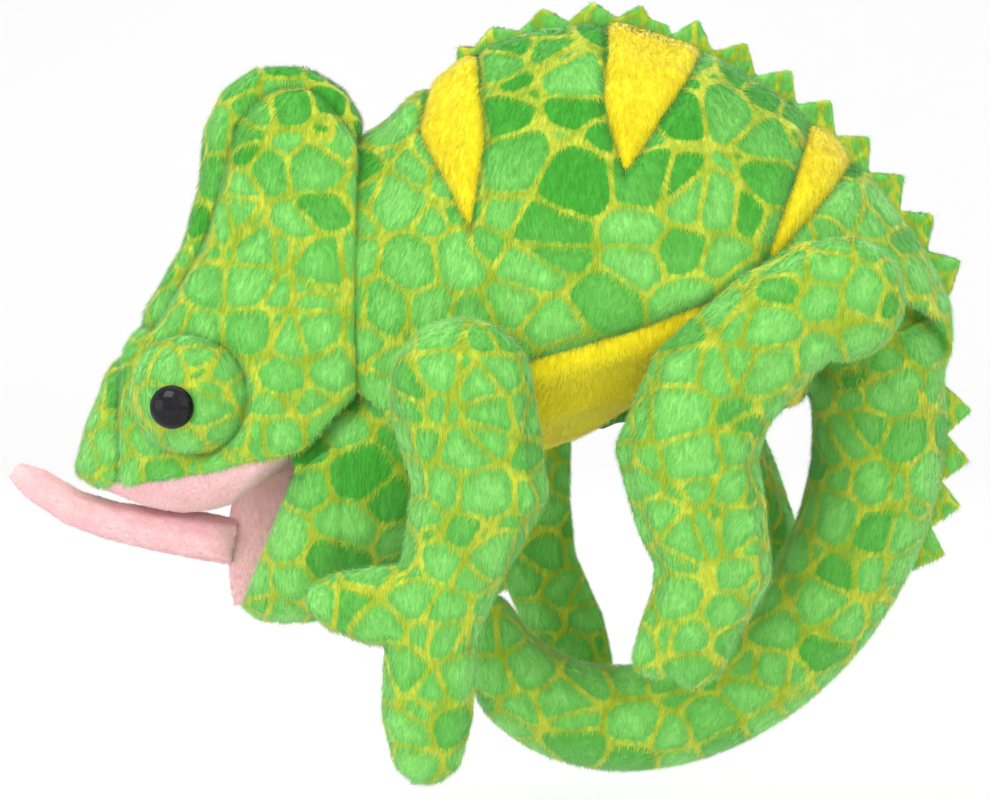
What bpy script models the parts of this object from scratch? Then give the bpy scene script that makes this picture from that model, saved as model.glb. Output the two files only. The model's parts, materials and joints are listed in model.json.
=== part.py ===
"""A plush chameleon hand puppet whose mouth is worked by the hand inside it.

Metres, +Z up. The head points towards -X, the tail towards +X and the left side towards -Y.
The origin is the centre of the hand opening in the underside of the belly. Sizes below are in
millimetres and are multiplied by MM where geometry is made.

Every soft volume is a loft or a tapered tube that can be made smaller by an inset, so that skins,
linings and stuffing nest inside each other with a running gap between them.
"""

import math

import bmesh
import bpy
from mathutils import Matrix, Vector

MM = 0.001
WELD = 0.00003                  # metres
GAP = 0.35                      # clearance between two pieces that touch
SKIN = 3.0                      # plush fabric: backing and pile
LINING = 1.6                    # short-pile fabric of the mouth and the glove
LINING_INSET = 0.5              # how far a mouth lining stops short of the lip's outer face
PLATE = 1.5                     # stiffener of a jaw
PLATE_LAYER = (LINING + GAP, LINING + GAP + PLATE)
SEAM = 5.0                      # width of the spine seam that holds the crest
FAR = 90.0                      # past the object's sides, for cutters
BELOW = -150.0                  # past its underside
ABOVE = 160.0                   # past its top
IN_FRONT = -260.0               # past its front
BEHIND = 140.0                  # past its rear

# Joint axes, all along Y, as (x, z).
NECK_PIVOT = (-108.0, 20.0)
JAW_PIVOT = (-128.0, -11.0)
TONGUE_PIVOT = (-153.0, -46.0)
SHOULDER = (-76.0, 12.0)
HIP = (42.0, 40.0)
TAIL_PIVOTS = ((60.0, 14.0), (52.0, -54.0), (4.0, -101.0))
LEG_SWINGS = (-18.0, -9.0, 0.0, 9.0, 18.0)

# Torso sections: x, top z, bottom z, half width.
TORSO = (
    (-118.0, 80.0, -8.0, 24.0),
    (-106.0, 90.0, -30.0, 33.0),
    (-92.0, 103.0, -41.0, 40.0),
    (-74.0, 117.0, -34.0, 46.0),
    (-52.0, 125.0, -15.0, 51.0),
    (-26.0, 127.0, -5.0, 53.0),
    (0.0, 119.0, -1.0, 52.0),
    (24.0, 105.0, 0.0, 48.0),
    (44.0, 90.0, 0.0, 42.0),
    (60.0, 73.0, 2.0, 36.0),
    (74.0, 55.0, 6.0, 27.0),
    (84.0, 37.0, 12.0, 13.0),
)
NECK_LEAD = 8.0                 # how far the torso's hollow reaches out of its neck end
TORSO_TAPER = 0.22              # how much narrower the back is than the belly
TAPER_SHARE = 0.35              # share of a taper that widens a section's middle

# Head sections: z, front x, rear x, half width.
HEAD = (
    (-34.0, -188.0, -90.0, 27.0),
    (-22.0, -206.5, -88.0, 33.0),
    (-6.0, -202.0, -86.0, 37.0),
    (14.0, -193.0, -84.0, 37.5),
    (34.0, -180.0, -84.0, 35.0),
    (54.0, -168.5, -86.0, 30.0),
    (74.0, -163.0, -94.0, 25.0),
    (92.0, -161.0, -108.0, 19.0),
    (104.0, -155.0, -115.0, 14.0),
    (111.0, -145.0, -127.0, 7.0),
)
HEAD_TAPER = 0.28               # how much narrower the snout is than the cheeks
HEAD_REAR = -110.0              # the plane where the head skin ends and the neck sleeve begins

# Lower jaw sections: z, front x, rear x, half width.
JAW = (
    (-71.0, -146.0, -122.0, 11.0),
    (-66.0, -152.0, -112.0, 20.0),
    (-56.0, -150.0, -104.0, 27.0),
    (-42.0, -144.0, -100.0, 31.0),
    (-26.0, -138.0, -100.0, 33.0),
    (-13.0, -134.0, -104.0, 32.0),
    (-6.0, -130.0, -110.0, 28.0),
)
LIP_REACH = (-60.0, 120.0)      # from behind the mouth's corner to past the lip
JAW_WAY_HALF = 22.0             # half width of the thumb's way into the jaw's rear
UPPER_LIP_ANGLE = 12.5          # palate below the horizontal
LOWER_LIP_ANGLE = 68.0          # lower lip line below the horizontal, mouth as sewn
MOUTH_CORNER = (-130.0, -13.3)
# The neck sleeve's front edge, clear of the jaw as it opens: x, z.
JAW_CLEAR = ((-101.0, 2.0), (-96.0, -20.0), (-95.0, -45.0))
CASQUE_HALF = 11.0              # half width of the gusset over the crown
CROWN = ((-206.0, 26.0), (-150.0, 30.0), (-100.0, 60.0), (-60.0, 60.0), (-60.0, ABOVE), (-206.0, ABOVE))
SNOUT_SEAM = (-190.0, 26.0)     # rear edge x and top z of the snout cap

# Leg centre lines: x, z, radius. Radii are in the plane of the leg.
FRONT_LEG = (
    (-80.0, 20.0, 19.0),
    (-75.0, 4.0, 22.5),
    (-70.0, -20.0, 21.5),
    (-79.0, -44.0, 16.0),
    (-86.0, -66.0, 14.5),
    (-87.0, -92.0, 14.5),
    (-87.0, -108.0, 10.5),
    (-87.0, -113.5, 4.0),
)
FRONT_TOE = ((-82.0, -53.0, 11.0), (-104.0, -57.0, 12.5), (-117.0, -55.0, 9.0), (-124.0, -53.5, 3.5))
HIND_LEG = (
    (40.0, 44.0, 17.0),
    (22.0, 32.0, 19.0),
    (2.0, 12.0, 21.0),
    (-6.0, -8.0, 22.5),
    (-1.0, -28.0, 20.5),
    (3.0, -46.0, 18.5),
    (-3.0, -60.0, 15.5),
    (-12.0, -70.0, 11.0),
    (-20.0, -77.0, 4.0),
)
HIND_TOE = ((3.0, -44.0, 11.0), (0.0, -63.0, 12.0), (-3.0, -76.0, 9.0), (-5.0, -82.0, 3.5))
LEG_BORE_LEAD = 10.0            # how far a leg's hollow reaches out of its upper end
LEG_FLATNESS = 0.74             # thickness across Y over width in the leg's plane
LEG_WALL_Y = 52.0               # distance from the middle plane to a leg's centre line
# How each leg lies as sewn: (swing about Y, twist about Z, splay about X), degrees.
LEG_REST = {
    "front_left": (0.0, 0.0, 0.0),
    "front_right": (-26.0, -22.0, -10.0),
    "hind_left": (0.0, 0.0, 0.0),
    "hind_right": (-13.0, 4.0, -6.0),
}

# Tail centre line: x, z, radius.
TAIL = (
    (58.5, 22.0, 21.5),
    (62.0, 4.0, 21.5),
    (62.5, -14.0, 21.0),
    (60.0, -32.0, 20.5),
    (55.0, -47.0, 20.0),
    (48.5, -61.0, 19.3),
    (37.0, -77.0, 18.6),
    (22.0, -90.0, 18.0),
    (5.0, -101.0, 17.4),
    (-12.0, -106.5, 17.0),
    (-29.0, -106.5, 16.4),
    (-45.0, -102.0, 15.6),
    (-59.0, -94.0, 14.5),
    (-69.0, -84.0, 12.0),
    (-73.0, -78.0, 6.0),
)
TAIL_SPLITS = (4, 8)            # tail points nearest the second and third tail pivots
TAIL_ROOM = 24.2                # radius of the notch in the rump that the tail's root turns in
TAIL_LEAD = 6.0                 # how far a length of tail reaches back past its joint

TONGUE_SKIN = 2.0
TONGUE = (
    (*TONGUE_PIVOT, 7.6),
    (-164.0, -44.0, 7.8),
    (-179.0, -41.8, 7.0),
    (-194.0, -38.8, 6.3),
    (-207.0, -34.3, 5.8),
    (-219.0, -26.5, 5.4),
    (-226.0, -22.0, 3.0),
)

# The lines that the crest is sewn along: x, z, on the back and down the tail's root.
SPINE = ((-85.5, 107.5),) + tuple((x, top) for x, top, _, _ in TORSO[3:])
TAIL_SPINE_POINTS = (1, 5)
CREST_SPIKES = 13
TAIL_SPIKES = 4
CREST_HEIGHT = 9.0
CREST_ROOT = 1.8                # how far the crest reaches into the seam
CREST_THICKNESS = 3.6
CREST_PROFILE = ((0.02, 1.0), (0.5, CREST_HEIGHT), (0.98, 1.0))  # share of a spike's width, height

# Seam outlines seen from the side: x, z.
YELLOW_INSERTS = (
    [(-83.0, 119.0), (-72.0, 121.0), (-69.0, 88.0), (-73.5, 61.0), (-94.0, 98.0)],
    [(-29.0, 129.0), (4.0, 120.0), (-25.5, 78.0), (-32.0, 101.0)],
    [(38.0, 96.0), (53.0, 84.0), (17.0, 47.5)],
)
BELLY = [
    (-116.0, -60.0), (-116.0, -28.0), (-86.0, 2.0), (-54.0, 20.0), (-20.0, 30.0), (16.0, 44.0),
    (34.0, 44.0), (36.5, -60.0),
]

EYE_CENTRE = (-168.0, 4.5)      # x, z
EYE_RADIUS = 7.0
EYE_SIDES = 14
DOME_STEPS = 5
EYE_DOME = 0.72                 # height of the eye's dome over its radius
EYE_SHANK = 1.8
EYE_SHANK_END = 16.5            # distance of its inner end from the middle plane
EYE_WASHER = 6.0
EYE_WASHER_Y = 20.6
EYE_PATCH = (-163.5, 6.5, 20.5)  # x, z, radius
EYE_PATCH_DEPTH = 20.0          # half depth of the ball that the patch is cut from
EYE_PATCH_FACE = 38.5           # distance of the patch's outermost point from the middle plane

HAND_OPENING = (28.0, 26.0)     # half length along X and half width along Y
HEM_WIDTH = 5.0
HEM_TOP = 30.0                  # nothing of the hem is above this
HEM_PROUD = 1.0                 # how far the hem's binding stands off the belly's two faces
OPENING_REACH = 45.0            # half height of the cutters for the opening
# Centre line of the glove lining, from the opening to the neck: x, z, radius.
GLOVE = ((1.0, 15.0, 25.5), (-4.0, 27.0, 28.0), (-22.0, 40.0, 30.0), (-46.0, 45.0, 30.0),
         (-72.0, 42.0, 28.0), (-94.0, 33.0, 23.0))
FINGER_POCKET = ((-110.5, 16.0, 15.0), (-130.0, 9.0, 14.0), (-150.0, 3.0, 12.0), (-166.0, -1.0, 9.0))
THUMB_POCKET = ((-112.0, -18.0, 9.0), (-121.0, -32.0, 9.0), (-131.0, -48.0, 7.5))
POCKET_WIDTH = 1.7              # a pocket is wider across Y than it is high
CLOSED_ENDS = 0.8               # least radius of a tube's end

SIDES = {"left": -1.0, "right": 1.0}

# Material: base colour (linear), roughness.
COLOURS = {
    "plush_green": ((0.16, 0.58, 0.10), 0.9),
    "plush_dark": ((0.06, 0.36, 0.04), 0.9),
    "plush_yellow": ((0.93, 0.72, 0.02), 0.9),
    "plush_pink": ((0.90, 0.48, 0.50), 0.9),
    "lining": ((0.05, 0.32, 0.08), 0.85),
    "stuffing": ((0.85, 0.85, 0.83), 1.0),
    "plate": ((0.80, 0.78, 0.72), 0.6),
    "eye_black": ((0.004, 0.004, 0.005), 0.05),
    "washer": ((0.75, 0.75, 0.75), 0.4),
}


def clear_scene():
    for obj in list(bpy.data.objects):
        bpy.data.objects.remove(obj, do_unlink=True)


def make_collection(name):
    collection = bpy.data.collections.new(name)
    bpy.context.scene.collection.children.link(collection)
    return collection


def make_materials():
    materials = {}
    for name, (colour, roughness) in COLOURS.items():
        material = bpy.data.materials.new(name)
        material.use_nodes = True
        shader = material.node_tree.nodes["Principled BSDF"]
        shader.inputs["Base Color"].default_value = (*colour, 1.0)
        shader.inputs["Roughness"].default_value = roughness
        materials[name] = material
    return materials


clear_scene()
PARTS = make_collection("moving_mouth_puppet")
CUTTERS = make_collection("cutters")
MATERIALS = make_materials()


# ---------------------------------------------------------------- shared helpers


def add_object(name, mesh, collection):
    obj = bpy.data.objects.new(name, mesh)
    collection.objects.link(obj)
    if collection is CUTTERS:
        obj.hide_render = True
        obj.display_type = "WIRE"
    return obj


def cutter(name, mesh):
    return add_object(name, mesh, CUTTERS)


def piece(name, mesh, material):
    obj = add_object(name, mesh.copy(), PARTS)
    obj.data.materials.clear()
    obj.data.materials.append(MATERIALS[material])
    for polygon in obj.data.polygons:
        polygon.material_index = 0
    obj.data.shade_smooth()
    obj.data.set_sharp_from_angle(angle=math.radians(40.0))
    return obj


def boolean(obj, tool, operation):
    modifier = obj.modifiers.new(f"{operation.lower()}_{tool.name}", "BOOLEAN")
    modifier.operation = operation
    modifier.object = tool
    # The torso copies that clear a leg's swing graze each other, and EXACT loses such a leg.
    modifier.solver = "MANIFOLD" if "_leg_" in obj.name else "EXACT"
    return obj


def carve(obj, *tools):
    for tool in tools:
        boolean(obj, tool, "DIFFERENCE")
    return obj


def keep(obj, *tools):
    for tool in tools:
        boolean(obj, tool, "INTERSECT")
    return obj


def join(obj, *tools):
    for tool in tools:
        boolean(obj, tool, "UNION")
    return obj


def tidy_seams(obj):
    """Merges the doubled points that a chain of cuts can leave along its edges."""
    if obj.modifiers:
        modifier = obj.modifiers.new("weld", "WELD")
        modifier.merge_threshold = WELD


def evaluated_mesh(obj):
    """The mesh an object shows, with its modifiers applied and in world space."""
    bpy.context.view_layer.update()
    graph = bpy.context.evaluated_depsgraph_get()
    mesh = bpy.data.meshes.new_from_object(obj.evaluated_get(graph))
    mesh.transform(obj.matrix_world)
    return mesh


def loft(name, rings):
    """A closed skin through rings of points, in millimetres, with flat ends."""
    bm = bmesh.new()
    rows = [[bm.verts.new(point * MM) for point in ring] for ring in rings]
    count = len(rows[0])
    for row, following in zip(rows, rows[1:]):
        for i in range(count):
            j = (i + 1) % count
            bm.faces.new((row[i], row[j], following[j], following[i]))
    bm.faces.new(rows[0])
    bm.faces.new(list(reversed(rows[-1])))
    bmesh.ops.recalc_face_normals(bm, faces=bm.faces)
    bmesh.ops.triangulate(bm, faces=bm.faces)
    mesh = bpy.data.meshes.new(name)
    bm.to_mesh(mesh)
    bm.free()
    return mesh


def torso_volume(name, inset, front=0.0, sides=20):
    """The body's loft. front lengthens it at the neck, so a smaller copy opens a shell there."""
    rings = []
    for x, top, bottom, half in TORSO:
        centre = (top + bottom) / 2
        height = (top - bottom) / 2 - inset
        width = (half - inset) / (1 + TORSO_TAPER * TAPER_SHARE)
        if x == TORSO[0][0]:
            x -= front
        if x == TORSO[-1][0]:
            x -= inset
        ring = []
        for i in range(sides):
            angle = math.tau * i / sides
            y = width * math.sin(angle) * (1 - TORSO_TAPER * math.cos(angle))
            ring.append(Vector((x, y, centre + height * math.cos(angle))))
        rings.append(ring)
    return loft(name, rings)


def level_volume(name, stations, taper, inset, sides=18):
    """A loft of level sections that are narrower in front, for the head and the jaw."""
    rings = []
    for z, front, back, half in stations:
        if z == stations[0][0]:
            z += inset
        elif z == stations[-1][0]:
            z -= inset
        centre = (front + back) / 2
        length = (back - front) / 2 - inset
        width = (half - inset) / (1 + taper * TAPER_SHARE)
        ring = []
        for i in range(sides):
            angle = math.tau * i / sides
            y = width * math.sin(angle) * (1 + taper * math.cos(angle))
            ring.append(Vector((centre + length * math.cos(angle), y, z)))
        rings.append(ring)
    return loft(name, rings)


def tube_mesh(name, points, inset=0.0, flatness=1.0, y=0.0, sides=2, start=0.0, end=0.0):
    """A tapered tube along x, z, radius points; start and end lengthen its two ends."""
    line = [Vector((x, 0.0, z)) for x, z, _ in points]
    line[0] += (line[0] - line[1]).normalized() * start
    line[-1] += (line[-1] - line[-2]).normalized() * end
    curve = bpy.data.curves.new(name, "CURVE")
    curve.dimensions = "3D"
    curve.bevel_depth = MM
    curve.bevel_resolution = sides
    curve.use_fill_caps = True
    spline = curve.splines.new("POLY")
    spline.points.add(len(line) - 1)
    for spot, place, (_, _, radius) in zip(spline.points, line, points):
        spot.co = (*(place * MM), 1.0)
        spot.radius = max(radius - inset, CLOSED_ENDS)
    obj = bpy.data.objects.new(name, curve)
    CUTTERS.objects.link(obj)
    mesh = evaluated_mesh(obj)
    bpy.data.objects.remove(obj, do_unlink=True)
    weld(mesh)
    mesh.transform(Matrix.Translation((0.0, y * MM, 0.0)) @ Matrix.Diagonal((1.0, flatness, 1.0, 1.0)))
    return mesh


def weld(mesh):
    bm = bmesh.new()
    bm.from_mesh(mesh)
    bmesh.ops.remove_doubles(bm, verts=bm.verts, dist=WELD / 3)
    bmesh.ops.recalc_face_normals(bm, faces=bm.faces)
    bmesh.ops.triangulate(bm, faces=bm.faces)
    bm.to_mesh(mesh)
    bm.free()


def outline_mesh(name, outline, y_from, y_to):
    """A flat x, z outline given thickness along Y."""
    curve = bpy.data.curves.new(name, "CURVE")
    curve.dimensions = "2D"
    curve.fill_mode = "BOTH"
    curve.extrude = (y_to - y_from) / 2 * MM
    spline = curve.splines.new("POLY")
    spline.use_cyclic_u = True
    spline.points.add(len(outline) - 1)
    for spot, (x, z) in zip(spline.points, outline):
        spot.co = (x * MM, z * MM, 0.0, 1.0)
    obj = bpy.data.objects.new(name, curve)
    obj.rotation_euler = (math.pi / 2, 0.0, 0.0)
    obj.location = (0.0, (y_from + y_to) / 2 * MM, 0.0)
    CUTTERS.objects.link(obj)
    mesh = evaluated_mesh(obj)
    bpy.data.objects.remove(obj, do_unlink=True)
    weld(mesh)
    return mesh


def slab_cutter(name, outline, half_width=FAR):
    """A cutter with an x, z outline, right through the object."""
    return cutter(name, outline_mesh(name, outline, -half_width, half_width))


def side_cutter(name, sign, near, outline=None):
    """A cutter on one side, from a distance off the middle plane outwards; the whole side by default."""
    if outline is None:
        outline = [(IN_FRONT, BELOW), (BEHIND, BELOW), (BEHIND, ABOVE), (IN_FRONT, ABOVE)]
    low, high = sorted((sign * near, sign * FAR))
    return cutter(name, outline_mesh(name, outline, low, high))


def grown(outline, amount):
    """An outline moved outwards by an amount along its corners' mean normals."""
    area = sum(a[0] * b[1] - b[0] * a[1] for a, b in zip(outline, outline[1:] + outline[:1]))
    turn = 1.0 if area > 0 else -1.0
    result = []
    for i, point in enumerate(outline):
        before = Vector(point) - Vector(outline[i - 1])
        after = Vector(outline[(i + 1) % len(outline)]) - Vector(point)
        normals = [Vector((edge.y, -edge.x)).normalized() * turn for edge in (before, after)]
        mean = (normals[0] + normals[1]).normalized()
        result.append(tuple(Vector(point) + mean * amount / max(mean.dot(normals[0]), 0.35)))
    return result


def cylinder_mesh(name, pivot, radius, half_length, segments=28, y=0.0):
    """A cylinder along Y about a pivot given as x, z, turned a little so no point is level with it."""
    bm = bmesh.new()
    bmesh.ops.create_cone(bm, cap_ends=True, segments=segments, radius1=radius * MM,
                          radius2=radius * MM, depth=2 * half_length * MM)
    bmesh.ops.rotate(bm, verts=bm.verts, matrix=Matrix.Rotation(math.pi / 2, 3, "X"))
    bmesh.ops.rotate(bm, verts=bm.verts, matrix=Matrix.Rotation(0.4 * math.pi / segments, 3, "Y"))
    bmesh.ops.translate(bm, verts=bm.verts, vec=Vector((pivot[0], y, pivot[1])) * MM)
    mesh = bpy.data.meshes.new(name)
    bm.to_mesh(mesh)
    bm.free()
    return mesh


def oval_mesh(name, half_x, half_y, z_from, z_to, segments=28):
    """An upright oval prism about the hand opening's axis."""
    bm = bmesh.new()
    bmesh.ops.create_cone(bm, cap_ends=True, segments=segments, radius1=MM, radius2=MM,
                          depth=(z_to - z_from) * MM)
    bmesh.ops.rotate(bm, verts=bm.verts, matrix=Matrix.Rotation(math.pi / segments, 3, "Z"))
    bmesh.ops.scale(bm, verts=bm.verts, vec=(half_x, half_y, 1.0))
    bmesh.ops.translate(bm, verts=bm.verts, vec=(0.0, 0.0, (z_from + z_to) / 2 * MM))
    mesh = bpy.data.meshes.new(name)
    bm.to_mesh(mesh)
    bm.free()
    return mesh


def opening_cutter(name, margin):
    """The hand opening, with a margin round it."""
    half_x, half_y = HAND_OPENING
    return cutter(name, oval_mesh(name, half_x + margin, half_y + margin, -OPENING_REACH, OPENING_REACH))


def lip_slab(name, angle, along, depth, half_width=60.0):
    """A slab fixed to a lip line: along runs from the mouth corner, depth is away from the gap."""
    direction = Vector((-math.cos(math.radians(angle)), -math.sin(math.radians(angle))))
    normal = Vector((direction.y, -direction.x))
    if angle > 45.0:
        normal = -normal
    corner = Vector(MOUTH_CORNER)
    outline = [tuple(corner + direction * a + normal * d) for a, d in (
        (along[0], depth[0]), (along[1], depth[0]), (along[1], depth[1]), (along[0], depth[1]))]
    return outline_mesh(name, outline, -half_width, half_width)


def oval_shell(name, points, wall, material):
    """An open fabric sleeve along Y-widened tube points."""
    sleeve = piece(name, tube_mesh(name, points, flatness=POCKET_WIDTH), material)
    bore = cutter(f"{name}_bore", tube_mesh(name, points, inset=wall, flatness=POCKET_WIDTH, start=6.0))
    return carve(sleeve, bore)


# ---------------------------------------------------------------- shared cutters


def neck_wedge(margin):
    """Everything in front of the torso: room for the head to nod and the jaw to open."""
    x, z = NECK_PIVOT
    return [(x + 2.5 + margin, z), (x + 22.0 + margin, z + 92.0), (IN_FRONT, z + 92.0), (IN_FRONT, BELOW),
            (-66.0 + margin, -85.0), (-80.5 + margin, -45.0)]


def tail_keyhole(radius):
    """Room for the tail's root below the rump."""
    x, z = TAIL_PIVOTS[0]
    outline = [(x - radius, BELOW), (BEHIND, BELOW), (BEHIND, z)]
    steps = 14
    for i in range(steps + 1):
        angle = math.pi * i / steps
        outline.append((x + radius * math.cos(angle), z + radius * math.sin(angle)))
    return outline


torso_outer = cutter("torso_outer", torso_volume("torso_outer", 0.0))
torso_inner = cutter("torso_inner", torso_volume("torso_inner", SKIN, front=NECK_LEAD))
torso_grown = torso_volume("torso_grown", -2 * GAP)
in_front_of_torso = slab_cutter("in_front_of_torso", neck_wedge(0.0))
tail_room = slab_cutter("tail_room", tail_keyhole(TAIL_ROOM))
belly_room = slab_cutter("belly_room", grown(BELLY, GAP))
belly_keep = slab_cutter("belly_keep", BELLY)
opening_room = opening_cutter("opening_room", HEM_WIDTH + GAP)
opening_keep = opening_cutter("opening_keep", HEM_WIDTH)
opening_hole = opening_cutter("opening_hole", 0.0)


# ---------------------------------------------------------------- torso


def make_body_panels():
    for side, sign in SIDES.items():
        half = side_cutter(f"half_{side}", sign, SEAM / 2)
        panel = piece(f"body_panel_{side}", torso_outer.data, "plush_green")
        carve(panel, torso_inner)
        keep(panel, half)
        carve(panel, in_front_of_torso, tail_room, belly_room)
        for number, outline in enumerate(YELLOW_INSERTS, 1):
            room = side_cutter(f"insert_room_{side}_{number}", sign, SEAM / 2 - GAP, grown(outline, GAP))
            carve(panel, room)
            insert = piece(f"yellow_insert_{side}_{number}", torso_outer.data, "plush_yellow")
            shape = side_cutter(f"insert_shape_{side}_{number}", sign, SEAM / 2, outline)
            carve(keep(carve(insert, torso_inner), shape), in_front_of_torso)


def make_belly_panel():
    belly = piece("belly_panel", torso_outer.data, "plush_yellow")
    carve(belly, torso_inner)
    keep(belly, belly_keep)
    carve(belly, in_front_of_torso, tail_room, opening_room)


def make_opening_hem():
    """The binding round the hand opening stands proud of the belly on both faces."""
    inner = cutter("hem_inner", torso_volume("hem_inner", SKIN + HEM_PROUD, front=NECK_LEAD))
    hem = piece("opening_hem", torso_volume("hem_outer", -HEM_PROUD), "lining")
    carve(hem, inner)
    below = slab_cutter("hem_height", [(-FAR, BELOW), (FAR, BELOW), (FAR, HEM_TOP), (-FAR, HEM_TOP)])
    keep(hem, below, opening_keep)
    carve(hem, opening_hole)


def spiked_outline(spine, spikes, root):
    """A crest outline: triangles standing on a spine line, and a root below it."""
    line = [Vector(point) for point in spine]
    lengths = [0.0]
    for a, b in zip(line, line[1:]):
        lengths.append(lengths[-1] + (b - a).length)

    def at(distance):
        for i, end in enumerate(lengths[1:], 1):
            if distance <= end + 1e-6:
                part = (distance - lengths[i - 1]) / (end - lengths[i - 1])
                tangent = (line[i] - line[i - 1]).normalized()
                return line[i - 1].lerp(line[i], part), Vector((-tangent.y, tangent.x))
        return line[-1], Vector((0.0, 1.0))

    outline = []
    for i in range(spikes):
        for share, height in CREST_PROFILE:
            place, normal = at(lengths[-1] * (i + share) / spikes)
            outline.append(tuple(place + normal * height))
    for i in range(3 * spikes, -1, -1):
        place, normal = at(lengths[-1] * i / (3 * spikes))
        outline.append(tuple(place - normal * root))
    return outline


def tail_spine():
    """The outer edge of the tail's root, just clear of its skin."""
    first, last = TAIL_SPINE_POINTS
    spine = []
    for i in range(first, last):
        x, z, radius = TAIL[i]
        along = Vector((TAIL[i + 1][0] - TAIL[i - 1][0], TAIL[i + 1][1] - TAIL[i - 1][1])).normalized()
        spine.append((x - along.y * (radius + GAP), z + along.x * (radius + GAP)))
    return spine


def make_crests():
    """Triangles of folded plush, sewn into the spine seam and along the tail's root."""
    half = CREST_THICKNESS / 2
    back = spiked_outline(SPINE, CREST_SPIKES, CREST_ROOT)
    piece("dorsal_crest", outline_mesh("crest", back, -half, half), "plush_green")
    root = spiked_outline(tail_spine(), TAIL_SPIKES, 0.0)
    piece("tail_crest", outline_mesh("crest", root, -half, half), "plush_green")


def make_glove_and_padding():
    """The hand's sleeve runs from the belly opening to the neck, with padding round it."""
    sleeve = piece("glove_lining", tube_mesh("glove", GLOVE, sides=3), "lining")
    bore = cutter("glove_bore", tube_mesh("glove", GLOVE, inset=LINING, sides=3, start=8.0, end=8.0))
    carve(sleeve, bore)
    core = cutter("glove_core", tube_mesh("glove", GLOVE, inset=-GAP, sides=3, start=30.0, end=30.0))
    for side, sign in SIDES.items():
        pad = piece(f"body_padding_{side}", torso_volume("padding", SKIN + HEM_PROUD + GAP), "stuffing")
        keep(pad, side_cutter(f"padding_half_{side}", sign, GAP))
        carve(pad, in_front_of_torso, tail_room, core, opening_hole)


def make_neck_sleeve():
    """The fold of plush between the head and the body, which gives as the head nods."""
    sleeve = piece("neck_sleeve", torso_outer.data, "plush_green")
    carve(sleeve, torso_inner)
    outline = neck_wedge(-GAP)
    front = HEAD_REAR + GAP
    low_corner = outline[-1]
    outline = outline[:2] + [(front, outline[1][1]), (front, 10.0), *JAW_CLEAR, (-94.0, -60.0), low_corner]
    keep(sleeve, slab_cutter("neck_room", outline))


# ---------------------------------------------------------------- head and mouth


def behind_mouth():
    """The underside of the head behind the mouth corner, sloping up to the neck."""
    x, z = MOUTH_CORNER
    return [(x - 0.5, z), (-104.0, 14.0), (-90.0, -80.0), (-135.0, -80.0)]


head_mesh = level_volume("head_outer", HEAD, HEAD_TAPER, 0.0)
def behind(x):
    """The outline of everything rearward of x."""
    return [(x, BELOW), (BEHIND, BELOW), (BEHIND, ABOVE), (x, ABOVE)]


head_mesh = level_volume("head_outer", HEAD, HEAD_TAPER, 0.0)
head_inner = cutter("head_inner", level_volume("head_inner", HEAD, HEAD_TAPER, SKIN))
head_rear = slab_cutter("head_rear", behind(HEAD_REAR))
below_palate = cutter("below_palate", lip_slab(
    "below_palate", UPPER_LIP_ANGLE, LIP_REACH, (-FAR, LINING + GAP)))
below_cheek = slab_cutter("below_cheek", behind_mouth())


def eye_patch_mesh():
    """A turret of plush: a flattened ball on the side of the head, for the left side."""
    x, z, radius = EYE_PATCH
    bm = bmesh.new()
    bmesh.ops.create_uvsphere(bm, u_segments=16, v_segments=8, radius=MM)
    bmesh.ops.rotate(bm, verts=bm.verts, matrix=Matrix.Rotation(math.pi / 2, 3, "X"))
    bmesh.ops.scale(bm, verts=bm.verts, vec=(radius, EYE_PATCH_DEPTH, radius))
    bmesh.ops.translate(bm, verts=bm.verts, vec=Vector((x, EYE_PATCH_DEPTH - EYE_PATCH_FACE, z)) * MM)
    mesh = bpy.data.meshes.new("eye_patch")
    bm.to_mesh(mesh)
    bm.free()
    return mesh


def sided(mesh, sign):
    """A left-side mesh, or its mirror image for the right side."""
    if sign < 0:
        return mesh
    mesh = mesh.copy()
    mesh.transform(Matrix.Diagonal((1.0, -1.0, 1.0, 1.0)))
    mesh.flip_normals()
    return mesh


def make_head_skin():
    crown_keep = slab_cutter("crown_keep", list(CROWN), CASQUE_HALF)
    crown_room = slab_cutter("crown_room", grown(CROWN, GAP), CASQUE_HALF + GAP)
    seam_x, top = SNOUT_SEAM
    top -= 2 * GAP
    snout_outline = [(seam_x, BELOW), (seam_x, top), (IN_FRONT, top), (IN_FRONT, BELOW)]
    snout_keep = slab_cutter("snout_keep", snout_outline)
    snout_room = slab_cutter("snout_room", grown(snout_outline, GAP))
    skin_cuts = (head_inner, head_rear, below_palate, below_cheek)
    casque = piece("casque_gusset", head_mesh, "plush_dark")
    carve(casque, *skin_cuts)
    keep(casque, crown_keep)
    snout = piece("snout_cap", head_mesh, "plush_green")
    carve(snout, *skin_cuts)
    keep(snout, snout_keep)
    for side, sign in SIDES.items():
        panel = piece(f"head_panel_{side}", head_mesh, "plush_green")
        carve(panel, *skin_cuts)
        keep(panel, side_cutter(f"head_half_{side}", sign, GAP))
        carve(panel, crown_room, snout_room, eye_tools[side]["room"])
    for side in SIDES:
        carve(snout, eye_tools[side]["room"])


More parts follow.
